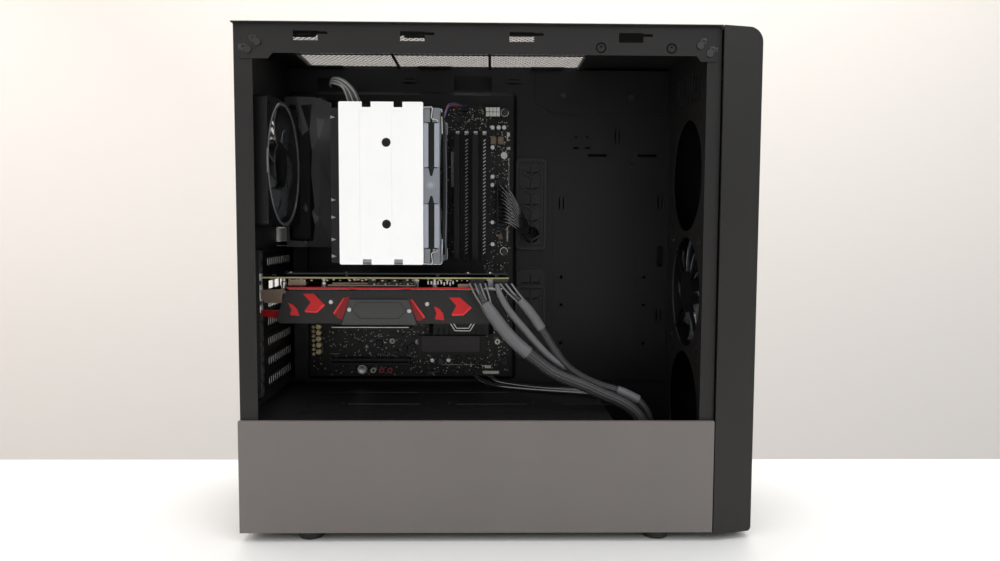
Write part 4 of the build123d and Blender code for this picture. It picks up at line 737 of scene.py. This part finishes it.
block("slot_edge_line", (-184.6, 58.1, 178.4), (-98.4, 58.5, 179.4), 0.1, ("case", "socket", plated_steel))
drive_y = box_mm("m2_drive")[0][1]
block("drive_label", (-84.2, drive_y - 0.25, 150.6), (-19, drive_y + 0.05, 168.6), 0.08,
      ("case", "board", finish("label_plum", (0.03, 0.022, 0.026), 0.3, grain=1500, bump=0.02)))
lines = []
heatsink_y = box_mm("chipset_heatsink")[0][1]
for (x0, z0), (x1, z1) in (((-57.5, 193), (-46.7, 175.2)), ((-46.7, 175.2), (-29.8, 175.0)),
                           ((-29.8, 175.0), (-19, 193)),
                           ((-54, 193), (-44.9, 178)), ((-44.9, 178), (-31.4, 178)),
                           ((-31.4, 178), (-22.4, 193))):
    length = math.hypot(x1 - x0, z1 - z0)
    nx, nz = -(z1 - z0) / length * 0.45, (x1 - x0) / length * 0.45
    lines.append(cut_sheet("line", [[(x0 - nx, z0 - nz), (x1 - nx, z1 - nz), (x1 + nx, z1 + nz),
                                     (x0 + nx, z0 + nz)]], 0.5,
                           side_turn, (0, heatsink_y - 0.1, 0), ("case", "armour", plated_steel), 0.05))
joined("heatsink_lines", lines, "case")

# ------------------------------------------------------------------ port armour
# A tall faceted plastic cover over the rear ports and the power stage, moulded in satin dark grey
# with long angular planes that catch the light.
armour_faces = finish("armour_facet_grey", (0.075, 0.075, 0.078), 0.3, grain=1600, bump=0.06, coat=0.15)
facet_points = {
    "a": (-227, 35.5, 429), "b": (-214, 33.6, 429), "c": (-196, 36.5, 429), "d": (-179.2, 42, 424),
    "e": (-227, 36, 396), "f": (-208, 33.1, 400), "g": (-192, 35, 385), "h": (-179.2, 40, 378),
    "i": (-227, 34, 352), "j": (-211, 36.5, 346), "k": (-190, 33.2, 350), "l": (-179.2, 39, 336),
    "m": (-227, 36, 306), "n": (-205, 33.4, 312), "o": (-193, 37, 302), "p": (-179.2, 41, 306),
    "q": (-227, 35, 269.2), "r": (-208, 36.5, 269.2), "s": (-192, 34, 269.2), "t": (-179.2, 40, 269.2),
}
names = list(facet_points)
triangles = []
for row in range(4):
    for column in range(3):
        one = row * 4 + column
        a, b, c, d = one, one + 1, one + 5, one + 4
        triangles.extend(((a, b, c), (a, c, d)) if (row + column) % 2 else ((a, b, d), (b, c, d)))
facets = meshed("armour_facets", [Vector(facet_points[n]) * MM for n in names], [], triangles)
skin = facets.modifiers.new("skin", "SOLIDIFY")
skin.thickness = 1.6 * MM
skin.offset = 0
settle(facets, "armour_facets", "case", "armour", armour_faces)
face_out(facets)

# ------------------------------------------------------------------ cooler clips and fan lead
# Bent spring wire hooks over each end of the fan frame. The fan's flat lead runs down its front
# and over the top to a header at the board's edge, where its coloured wires show.


def round_curve(name, points, radius, kind, smooth):
    """A round rod's curve through some points, and its one line."""
    curve = bpy.data.curves.new(name, "CURVE")
    curve.dimensions = "3D"
    curve.bevel_depth = radius * MM
    curve.bevel_resolution = smooth
    curve.use_fill_caps = True
    line = curve.splines.new(kind)
    line.points.add(len(points) - 1)
    for point, co in zip(line.points, points):
        point.co = (*(c * MM for c in co), 1)
    return curve, line


def bent_wire(name, points, radius, material, body="case", slot="bright_steel"):
    """Round wire bent on a former: straight runs with small bends between them."""
    curve, _ = round_curve(name, points, radius, "POLY", 2)
    return settle(put(name, curve), name, body, slot, material)


for label, end, sense in (("upper", 401.2, -1), ("lower", 256.8, 1)):
    bent_wire("fan_clip_hook_" + label, [
        (-70.6, -87.4, end + 3 * sense), (-69.8, -87.5, end + 0.4 * sense), (-62.4, -87.5, end),
        (-61.4, -87.5, end + 1.4 * sense),
        (-62.6, -87.5, end + 9.5 * sense), (-61.4, -87.5, end + 11 * sense),
        (-57.6, -87.4, end + 11.6 * sense),
        (-56.6, -87.2, end + 13 * sense)], 0.55, plated_steel)
    bent_wire("fan_clip_arm_" + label, [
        (-53.2, -82, end + 8 * sense), (-53.0, -80, end + 22 * sense), (-52.6, -60, end + 40 * sense),
        (-52.6, -57, end + 60 * sense)],
              0.7, plated_steel)

# ------------------------------------------------------------------ fin edges
# The last fins stand out beyond the cover. A near-black sheet over their edges is painted shade for the dark
# the bright fins reflect, and notches in it leave only the bent corners to catch the light.
fin_low, fin_high = box_mm("fin_stack")
shade_sheet_y = fin_low[1] - 0.45
# Painted shade: the near-black finish of the sheet laid over the fin edges.
fin_shade_paint = finish("fin_edges_painted_shade", (0.02, 0.02, 0.021), 0.4, metal=0.6, grain=700, bump=0.05)
edge_left, edge_right = fin_low[0], fin_low[0] + 7.6
notched = [(edge_left, fin_low[2]), (edge_right, fin_low[2]), (edge_right, fin_high[2]),
           (edge_left, fin_high[2])]
for z in (390, 314.5, 298.5, 278, 262.5):
    notched.extend(((edge_left, z + 3.2), (edge_left + 4.6, z + 1.4), (edge_left, z)))
cut_sheet("fin_edge_shade_sheet", [notched], 0.5, side_turn, (0, shade_sheet_y, 0), ("case", "aluminium", fin_shade_paint), 0.08)

# The fan's lead comes over the frame in a black ribbon and ends in a small plug with coloured wires.
for index, (shift, tint) in enumerate(((0, (0.5, 0.01, 0.01)), (1.5, (0.012, 0.012, 0.012)),
                                       (3.0, (0.35, 0.3, 0.03)), (4.5, (0.02, 0.03, 0.25)))):
    bent_wire("fan_lead_wire_%d" % (index + 1), [
        (-53.0 + shift * 0.2, -58, 396), (-50.0 + shift * 0.3, -40, 409 + shift * 0.4),
        (-46 + shift * 0.4, -5, 415 + shift * 0.5),
        (-43 + shift * 0.6, 30, 419 + shift * 0.5), (-40.0 + shift * 0.8, 50, 423.0),
        (-38.5 + shift, 60, 424.0)], 0.75,
              finish("lead_colour_%d" % (index + 1), tint, 0.35, grain=900, bump=0.03), slot="cable")
block("fan_plug", (-40.6, 57, 419.5), (-31.6, board_y - 0.2, 425.5), 0.6, ("case", "socket", black_plastic))
bent_wire("fan_lead_ribbon", [
    (-53.4, -70, 398), (-51.8, -78, 380), (-51.2, -80, 340), (-51.4, -80, 300), (-52.0, -78, 276),
    (-52.6, -66, 266)], 1.6,
          black_plastic, slot="cable")

# ------------------------------------------------------------------ graphics card
# A long card with a gloss black backplate, a bare laminate edge, nickelled pipes and plates, and a
# moulded two-fan shroud in dark grey. Red inserts show at its lip, its arrows and beside the badge.
# The arrows' lit lower-right facets and the wedges' rims are painted highlight, in a brighter red.
face = -52.0
red_fixing = ("case", "card_plastic", accent_red)
deep_red = finish("accent_deep_red", (0.2, 0.002, 0.004), 0.4, grain=1500, bump=0.06, spread=0.1, coat=0.2)
beige_metal = finish("contact_plate", (0.36, 0.27, 0.21), 0.36, metal=0.75, grain=900, bump=0.08, spread=0.15)
laminate = finish("laminate_edge", (0.42, 0.4, 0.2), 0.55, grain=2200, bump=0.1, spread=0.2)
# Painted highlight: a brighter copy of the red for the insert facets that face the light.
red_painted_highlight = finish("accent_red_painted_highlight", (0.72, 0.02, 0.025), 0.35, grain=1500, bump=0.04, spread=0.05,
                    coat=0.3)
deep_fix, highlight_red_fix = [("case", "card_plastic", paint) for paint in (deep_red, red_painted_highlight)]


def on_face(name, outline, proud, fixing, thick=0.5):
    """A flat insert on the card's face that stands a little proud of it."""
    return cut_sheet(name, [outline], thick, side_turn, (0, face - proud + thick / 2, 0), fixing, 0.08)


for side, arrow, tip, arc in (
    (
        "left",
        [(-190.0, 226.0), (-179.6, 226.0), (-170.6, 216.8), (-177.2, 209.0), (-188.6, 209.6),
         (-182.8, 217.6)],
        [(-170.6, 216.8), (-168.6, 214.6), (-176.6, 207.4), (-188.0, 208.0), (-188.6, 209.6),
         (-177.2, 209.0)],
        [(-204.7, 217.2), (-199.3, 215.0), (-195.6, 210.6), (-193.8, 204.4), (-202.9, 205.2),
         (-201.4, 210.6)],
    ),
    (
        "right",
        [(-48.0, 222.6), (-37.3, 222.6), (-27.6, 214.4), (-34.2, 206.8), (-45.4, 206.4), (-40.8, 214.6)],
        [(-27.6, 214.4), (-25.8, 212.6), (-33.8, 205.2), (-44.8, 204.8), (-45.4, 206.4), (-34.2, 206.8)],
        [(-62.7, 214.2), (-57.6, 211.8), (-53.9, 207.2), (-52.5, 200.4), (-61.7, 201.4), (-60.2, 207.2)],
    ),
):
    on_face("card_arrow_" + side, arrow, 0.35, red_fixing)
    on_face("card_arrow_tip_" + side, tip, 0.6, highlight_red_fix)
    on_face("card_arc_" + side, arc, 0.35, red_fixing)
for side, wedge, rim in (
    ("left", [(-144.4, 223.6), (-150.8, 222.0), (-160.8, 207.3), (-156.3, 202.0), (-152.4, 200.8),
              (-145.2, 219.6)],
     [(-150.8, 222.0), (-160.8, 207.3), (-159.6, 205.8), (-149.4, 222.4)]),
    ("right", [(-88.4, 221.6), (-83.8, 220.6), (-71.2, 203.5), (-75.4, 200.0), (-79.3, 200.0),
               (-87.4, 218.0)],
     [(-83.8, 220.6), (-71.2, 203.5), (-72.6, 202.2), (-85.2, 221.0)]),
):
    on_face("card_wedge_" + side, wedge, 0.25, deep_fix)
    on_face("card_wedge_rim_" + side, rim, 0.7, highlight_red_fix, 0.6)
for label, x, z, depth in (("left", -163.0, 218.0, 0), ("right", -69.3, 216.3, 0),
                           ("badge_left", -144.8, 210.8, 2.2), ("badge_right", -86.6, 209.6, 2.2)):
    lathed("card_screw_" + label, (x, face - depth, z), side_turn,
           [(0, 0.3), (0.9, 0.3), (1.1, 0.9), (1.9, 0.9), (2.2, 0.5), (2.4, 0)],
           ("case", "bright_steel", plated_steel), 32)
plate_y = box_mm("gpu_badge")[0][1]
hexagon = [(-137.4, 218.2), (-95.6, 218.2), (-89.4, 209.6), (-97.0, 201.8), (-134.6, 201.8), (-142.0, 209.8)]
centre_u, centre_v = -116, 210
inner = [(centre_u + (u - centre_u) * 0.982, centre_v + (v - centre_v) * 0.94) for u, v in hexagon]
cut_sheet("badge_line", [hexagon, inner], 0.3, side_turn, (0, plate_y - 0.02, 0),
          ("case", "card_plastic", black_plastic), 0.04)

block("card_edge", (-232.8, -45.3, 240.4), (10.3, -44.9, 241.9), 0.1, ("case", "board", laminate))
block("card_lip", (-206, -51.2, 230.6), (-22, -46, 232.4), 0.5, red_fixing)
block("card_under_lip", (-200, -51.4, 198.0), (-20, -47, 199.6), 0.5, deep_fix)
cut_sheet("card_corner", [[(-233, 209.5), (-215, 209.5), (-211, 203), (-214, 200.5), (-231, 203)]], 3,
          side_turn, (0, -46, 0),
          deep_fix, 0.4)
cut_sheet("card_end_plate", [[(-234, 229), (-209.5, 229.6), (-213.5, 221), (-222, 218.5), (-233, 219)]], 1.2,
          side_turn, (0, -43.6, 0),
          ("case", "bright_steel", beige_metal), 0.2)
plates = []
for x0, x1, z0, z1, y0 in (
    (-207.4, -189.8, 233, 239.4, -40), (-168.0, -81.5, 232.6, 234.6, -43), (-164.0, -84, 234.8, 236.4, -41),
    (-146.5, -140, 229.6, 232.6, -46), (-39.7, -27.8, 231, 235.4, -43), (-96, -86, 229.6, 232.4, -46),
    (-230, -212, 216, 224, -44),
):
    plates.append(block("plate", (x0, y0, z0), (x1, y0 + 30, z1), 0.5, ("case", "copper", beige_metal)))
joined("card_plates", plates, "case")
for index, x in enumerate((-211.5, -172.0, -62.6, 2.6)):
    lathed("card_pillar_%d" % (index + 1), (x, -40, 230), flat_turn,
           [(0, 0), (2.6, 0), (2.9, 0.6), (2.9, 6.6), (2.2, 7.4), (2.2, 10.2), (0, 10.2)],
           ("case", "bright_steel", solder), 28)
inductors = [(x, -39, 236.4, 0, 1) for x in (-124, -113, -102, -91)]
spread("card_inductors", small_part(8.6, 6.2, 8), inductors, chip_fix)
spread("card_inductor_marks", small_part(1.6, 1.6, 0.4),
       [(x + 2, -43.1, 234.8, 0, 1) for x, _, _, _, _ in inductors],
       ("case", "board", white_part))
teeth = [(-56 + 2.9 * i, -43.0, 236.8 - 1.4 * (i % 2), 0, 1) for i in range(5)] + [(-69 + 3.2 * i, -43.0,
    236.4, 0, 1) for i in range(4)]
spread("card_contacts", small_part(1.5, 3.4, 1.2), teeth, ("case", "ivory", white_part))
parts = random.Random(5)
spread("card_edge_parts", small_part(2.0, 1.2, 1.2),
       [(parts.uniform(-205, -4), -43.8, parts.choice((239.3, 238.6)), 0,
         parts.uniform(0.6, 1.2)) for _ in range(46)],
       beige_fix)
back_top = box_mm("gpu_backplate")[1][2]
gloss_black = finish("backplate_gloss", (0.003, 0.003, 0.0035), 0.14, grain=900, bump=0.02, coat=0.6)
dress(frame["nodes"]["gpu_backplate"], gloss_black)
for index, x in enumerate((-150, -30, -205, -8)):
    lathed("backplate_screw_%d" % (index + 1), (x, -38, back_top - 0.1), flat_turn,
           [(0, 0.2), (1.0, 0.2), (1.2, 0.7), (2.2, 0.55), (2.6, 0)], ("case", "screw", plated_steel), 24)

# ------------------------------------------------------------------ power leads to the card
# Soft stranded wires in two braided nylon sleeves. Each bundle leaves its plug as separate wires,
# goes into a shrink tube, and runs on in the sleeve over the shroud and down into the basement.
sleeve, tree, shader = nodes_of("braided_sleeve")
split = add_node(tree, "SeparateXYZ", {"Vector": add_node(tree, "TexCoord", {}).outputs["UV"]})
turns = 2 * math.pi
along, around = split.outputs["X"], split.outputs["Y"]
hands = []
for girth in (6, -6):
    length_part = add_math(tree, "MULTIPLY", along, 80 * turns)
    hands.append(add_math(tree, "SINE", add_math(tree, "MULTIPLY_ADD", around, girth * turns, length_part)))
weave = add_math(tree, "MULTIPLY", *hands)
shade = add_node(tree, "MapRange", {"From Min": -1, "Value": weave}).outputs["Result"]
ramp = add_node(tree, "ValToRGB", {"Fac": shade})
ramp.color_ramp.elements[0].position = 0.35
ramp.color_ramp.elements[0].color = (0.008, 0.008, 0.009, 1)
ramp.color_ramp.elements[1].position = 0.75
ramp.color_ramp.elements[1].color = (0.062, 0.062, 0.065, 1)
relief = add_node(tree, "Bump", {"Strength": 0.7, "Distance": 0.0005, "Height": shade}).outputs["Normal"]
feed(tree, shader, {"Base Color": ramp.outputs["Color"], "Roughness": 0.45, "Normal": relief})
shrink_tube = finish("shrink_tube", (0.13, 0.13, 0.135), 0.32, grain=700, bump=0.12, stretch=(3, 1, 0.3),
                     spread=0.2)
wire_grey = finish("wire_grey", (0.17, 0.17, 0.175), 0.3, grain=900, bump=0.05, spread=0.2)
wire_black = finish("wire_black", (0.018, 0.018, 0.019), 0.2, grain=900, bump=0.03, coat=0.7, shine=0.9)


def strand(name, points, radius, material, sides=6, thin=()):
    """A round flexible piece that follows its route smoothly from end to end."""
    curve, line = round_curve(name, points, radius, "NURBS", sides // 2)
    for point, share in zip(line.points, thin):
        point.radius = share
    line.order_u = 3
    line.use_endpoint_u = True
    line.resolution_u = 6
    piece = put(name, curve)
    dress(piece, material)
    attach(piece, "case")
    return piece


first_route = [(-20.2, -58, 235.5), (-19.6, -63.5, 230.5), (-9, -64, 212), (7.7, -64, 189.5),
               (21.3, -63.5, 176), (37, -63, 163.2),
               (53.6, -63, 150.5), (69.1, -63.5, 144), (85.7, -64, 138), (101.3, -64.5, 130.2),
               (117.9, -65, 123.8), (131, -65.5, 115.5),
               (140.5, -65, 104), (143, -60, 86), (134, -52, 66), (112, -44, 53), (78, -37, 48),
               (36, -33, 48.5), (-8, -31, 51), (-50, -30.5, 52), (-88, -30, 52.5)]
second_route = [(7.2, -58, 235.5), (11, -62, 230.5), (25.5, -58, 216.5), (37.5, -56, 201), (47, -54, 185),
                (57.5, -52, 168),
                (67.8, -50, 154), (81, -49, 144.5), (100.4, -50, 135.5), (119.5, -51, 130.5),
                (137, -52.5, 123.5), (149, -53, 109),
                (152.5, -49, 90), (144, -41, 72), (122, -31, 61.5), (88, -21, 57), (46, -14.5, 56),
                (2, -12.5, 57.5), (-46, -12, 58.5), (-88, -12, 58)]
pigtail_route = [(-1.2, -58, 235.5), (-0.6, -61.5, 230.5), (9, -60, 212), (27.4, -57.5, 190.5),
                 (40.3, -55.5, 175), (54.3, -53, 161), (67, -50, 153)]


def wire_fan(name, route, width, count, radius, length_share):
    """The bare wires between a plug and its sleeve, side by side in two rows at the plug."""
    wires = []
    top, into = Vector(route[0]), Vector(route[2])
    side = (into - top).cross(Vector((0, 1, 0))).normalized()
    for index in range(count):
        offset = (index % (count // 2) - (count // 2 - 1) / 2) / max(1, count // 2 - 1)
        row = -1 if index < count // 2 else 1
        start = top + Vector((offset * width, row * 1.6, 1.5))
        middle = top + (into - top) * 0.35 + Vector((offset * width * 0.9, row * 2.4 - 1.8, 0))
        end = top + (into - top) * length_share + side * offset * radius * 1.2 + Vector((0, row * 1.2, 0))
        wires.append(strand(name, [start, (start + middle) / 2 + Vector((0, -0.8, 0)), middle,
                                   (middle + end) / 2, end], 0.85,
                            wire_grey, sides=4))
    for wire in wires:
        wire.select_set(False)
    return wires


for label, route, radius, length, count, width, shrink in (
    ("gpu_cable_1", first_route, 6.0, 485.1, 8, 15, 4),
    ("gpu_cable_2", second_route, 4.3, 476.0, 6, 11, 3),
):
    lead = strand(label + "_sleeve", route, radius, sleeve, sides=10, thin=(0.25, 0.3, 0.72))
    fan = wire_fan(label + "_wire", route, width, count, radius, 1.0)
    wires_end = Vector(route[1]) * 0.35 + Vector(route[2]) * 0.65
    shrink_route = [wires_end] + [Vector(p) for p in route[2:1 + shrink]]
    shrink_route.append((Vector(route[shrink]) + Vector(route[shrink + 1])) / 2)
    tube = strand(label + "_shrink", shrink_route, radius + 0.45, shrink_tube, sides=10, thin=(0.8, 1.0))
    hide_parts(label)
pigtail = strand("gpu_pigtail", pigtail_route, 3.6, shrink_tube, sides=8, thin=(0.7, 0.8))
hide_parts("gpu_cable_2")
strand("lead_join_tube", [(118, -50.6, 130.8), (130, -51.6, 126.6), (139, -52.4, 121.4)], 4.9, shrink_tube,
       sides=8)

# ------------------------------------------------------------------ leads to the board
# The wide main lead is a bundle of stiff separate wires that spreads from its plug and gathers into
# the grommet. The processor lead arcs over the board's top edge. Two flat leads lie on the shroud.
bundle = []
for index in range(20):
    row = index // 2
    side = index % 2
    z = 297 + row * 4.7
    fan_in = (row - 4.5) / 4.5
    bundle.append(strand("main_wire_%d" % (index + 1), [
        (1.6 + side * 4.6, 43.6, z), (2.4 + side * 5.2, 35 - side * 3, z - 1 - row * 0.3),
        (11 + side * 5, 27.5 + abs(fan_in) * 3 + side, 297 + row * 3.4),
        (24 + side * 2.5, 36 + fan_in * 2, 288.5 + row * 1.9 + side),
        (34 + fan_in * 1.5, 57, 284.5 + fan_in * 6 + side), (39.2, 84, 283 + fan_in * 8)], 1.15, wire_black,
                         sides=4))
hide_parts("board_leads")
for index in range(8):
    sway = (index - 3.5) / 3.5
    bundle.append(strand("processor_wire_%d" % (index + 1), [
        (-152 + 6 * sway, 43.6, 418), (-153 + 6.5 * sway, 33.5, 424),
        (-158 + 5 * sway, 31 + sway * 2, 436 + 2 * abs(sway)),
        (-170 + 3 * sway, 39, 447 + 3 * sway), (-184 + sway, 57, 451 + 3 * sway), (-189, 90, 451 + 2 * sway)],
                         1.0, wire_grey if index % 3 else white_part, sides=4))
for index, (x, drop) in enumerate(((-8, 0), (-24, -12))):
    lead = strand("header_lead_%d" % (index + 1), [
        (x, 62.55, 124), (x + 5, 56.55, 118.5), (x + 26, 48.55 + drop, 116.4), (52, 29.55 + drop, 116.2),
        (84, 15.55 + drop, 117.2),
        (113, 3.55 + drop, 117), (130, -3.45 + drop, 107), (144, -8.45 + drop, 91), (162, -11.45 + drop, 76),
        (180, -14.45 + drop, 66.5), (196, -15.45 + drop, 64)], 2.5, wire_black, sides=8)
for index, wire in enumerate(bundle):
    points = [Vector(p.co[:3]) for p in wire.data.splines[0].points]
    length = sum((b - a).length for a, b in zip(points, points[1:])) * 0.965
block("main_plug", (-1.4, 43, 292), (9.6, 58.4, 344), 0.8, ("case", "socket", black_plastic))
block("processor_plug", (-162.4, 43, 410.6), (-141.6, 58, 423.2), 0.8, ("case", "socket", black_plastic))

# ------------------------------------------------------------------ tray grommets
# Two oval openings beside the board are lined with a moulded rubber frame, whose thin flaps are cut
# in chevrons so that a bundle can push through. They are glued to the tray from the front.
grommet_fixing = ("case", "rubber", soft_rubber)


def rounded(u0, v0, u1, v1, radius, corners=5):
    """A rectangle with round corners, as an outline."""
    outline = []
    for centre_u, centre_v, first in ((u1 - radius, v1 - radius, 0), (u0 + radius, v1 - radius, 1),
                                      (u0 + radius, v0 + radius, 2),
                                      (u1 - radius, v0 + radius, 3)):
        for step in range(corners + 1):
            angle = math.pi / 2 * (first + step / corners)
            outline.append((centre_u + radius * math.cos(angle), centre_v + radius * math.sin(angle)))
    return outline


tray_low = box_mm("cable_grommets")[0][1]
for label, z0, z1 in (("upper", 265.5, 370.0), ("lower", 140.0, 226.0)):
    cut_sheet("grommet_frame_" + label, [rounded(21.5, z0, 57, z1, 6),
                                         rounded(25.5, z0 + 4.5, 53, z1 - 4.5, 3)], 1.8, side_turn,
              (0, tray_low - 0.7, 0), grommet_fixing, 0.5)
    ribs = []
    number = int((z1 - z0 - 14) / 18)
    for index in range(number):
        z = z0 + 9 + 18 * index
        for side in (-1, 1):
            ribs.append(cut_sheet("rib", [[(39.2, z), (39.2 + side * 13.5, z + 8.5),
                                           (39.2 + side * 13.5, z + 11), (39.2, z + 2.6)]],
                                  1.0, side_turn, (0, tray_low - 0.35, 0), grommet_fixing, 0.2))
    ribs.append(cut_sheet("rib", [box_outline(38.6, z0 + 5, 39.8, z1 - 5)], 0.8, side_turn,
                          (0, tray_low - 0.2, 0), grommet_fixing, 0.15))
    joined("grommet_flaps_" + label, ribs, "case")

# ------------------------------------------------------------------ front panel foam
# A strip of black foam seals the joint between the front panel and the steel box, and closes the
# slit so that no light comes through.
# This black foam finish also colours the painted shade sheet behind the front mesh.
foam_and_shade_black = finish("seal_foam_and_painted_shade", (0.004, 0.004, 0.004), 0.9, grain=900, bump=0.4)
seals = []
for y0, y1 in ((-98, -91), (91, 98)):
    seals.append(block("seal", (200.15, y0, 10), (200.9, y1, 470), 0.1, ("front_panel", "rubber", foam_and_shade_black)))
joined("front_panel_seal", seals, "front_panel")
for side, y0, y1 in (("left", -90, -88.4), ("right", 88.4, 90)):
    block("front_panel_liner_" + side, (202.6, y0, 12), (233.5, y1, 452), 0.5,
          ("front_panel", "front_plastic", foam_and_shade_black))

# ------------------------------------------------------------------ front intake mesh
# The front is a punched steel sheet. Behind it a black sheet is painted shade for the dark inside the
# front panel: it hides the fans and stops the light, so the fan openings look black from inside.
front_low, front_high = box_mm("front_mesh")
mesh_x = (front_low[0] + front_high[0]) / 2
half_width, mesh_bottom, mesh_top = front_high[1], front_low[2], front_high[2]
mesh_middle = (mesh_bottom + mesh_top) / 2
grille = hexagon_sheet("front_hexagons", (mesh_x, 0, mesh_middle),
                       (2 * half_width - 6, mesh_top - mesh_bottom - 6), 4.6, 1.3,
                       cross_turn, ("front_panel", "mesh", powder_coat))
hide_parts("front_mesh")
front_rim = cut_sheet("front_mesh_rim", [box_outline(-half_width, mesh_bottom, half_width, mesh_top),
                                         box_outline(-half_width + 5, mesh_bottom + 5, half_width - 5,
                                                     mesh_top - 5)],
                      1.0, cross_turn, (mesh_x, 0, 0), ("front_panel", "mesh", powder_coat), 0.2)
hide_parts("front_mesh")
# Painted shade: a black sheet behind the mesh for the dark inside the front panel.
cut_sheet("front_painted_shade_sheet", [box_outline(-half_width + 1, mesh_bottom + 1, half_width - 1, mesh_top - 1)],
          0.6,
          cross_turn, (mesh_x - 1.4, 0, 0), ("front_panel", "mesh", foam_and_shade_black), 0.1)

# ------------------------------------------------------------------ roof rail screws and dimples
# Pan-head screws hold the rail's gussets to the posts, and two pressed dimples with threaded holes
# take the captive screws of the side panel.
for index, (x, z) in enumerate(((-228.6, 451.0), (-220.4, 459.0), (183.2, 459.2), (191.6, 451.4))):
    lathed("rail_screw_%d" % (index + 1), (x, -100.6, z), side_turn,
           [(0, 0.9), (0.8, 0.9), (1.3, 1.6), (2.7, 1.5), (3.4, 0.9), (3.5, 0.2), (4.6, 0.2), (5.0, 0)],
           ("case", "screw", dark_screw), 36)
for index, (x, z) in enumerate(((90.8, 452.6), (154.4, 452.4))):
    lathed("rail_dimple_%d" % (index + 1), (x, -100.2, z), side_turn,
           [(1.7, -0.6), (1.7, 0.3), (2.4, 0.3), (3.6, 0.8), (4.6, 0.8), (5.2, 0.1)], rail_fix, 36)

# ------------------------------------------------------------------ basement cover slots
# The cover over the basement is pressed with rows of cable-tie slots. Their raised lips catch the
# light along the front row.
cover_top_z = box_mm("psu_shroud_top")[1][2]
lips = []
for y, start_x, long in ((-36, -150, 72), (-36, -42, 72), (-36, 66, 66), (20, -150, 66), (20, -52, 66)):
    lips.append(block("lip", (start_x, y, cover_top_z - 0.2), (start_x + long, y + 1.1, cover_top_z + 0.9),
                      0.35,
                      rail_fix))
    for end_x in (start_x - 7, start_x + long + 7):
        lips.append(lathed("stud", (end_x, y + 9, cover_top_z - 0.1), flat_turn,
                           [(0, 0.5), (0.9, 0.6), (1.6, 0.4), (1.9, 0)],
                           rail_fix, 16))
joined("basement_cover_lips", lips, "case")
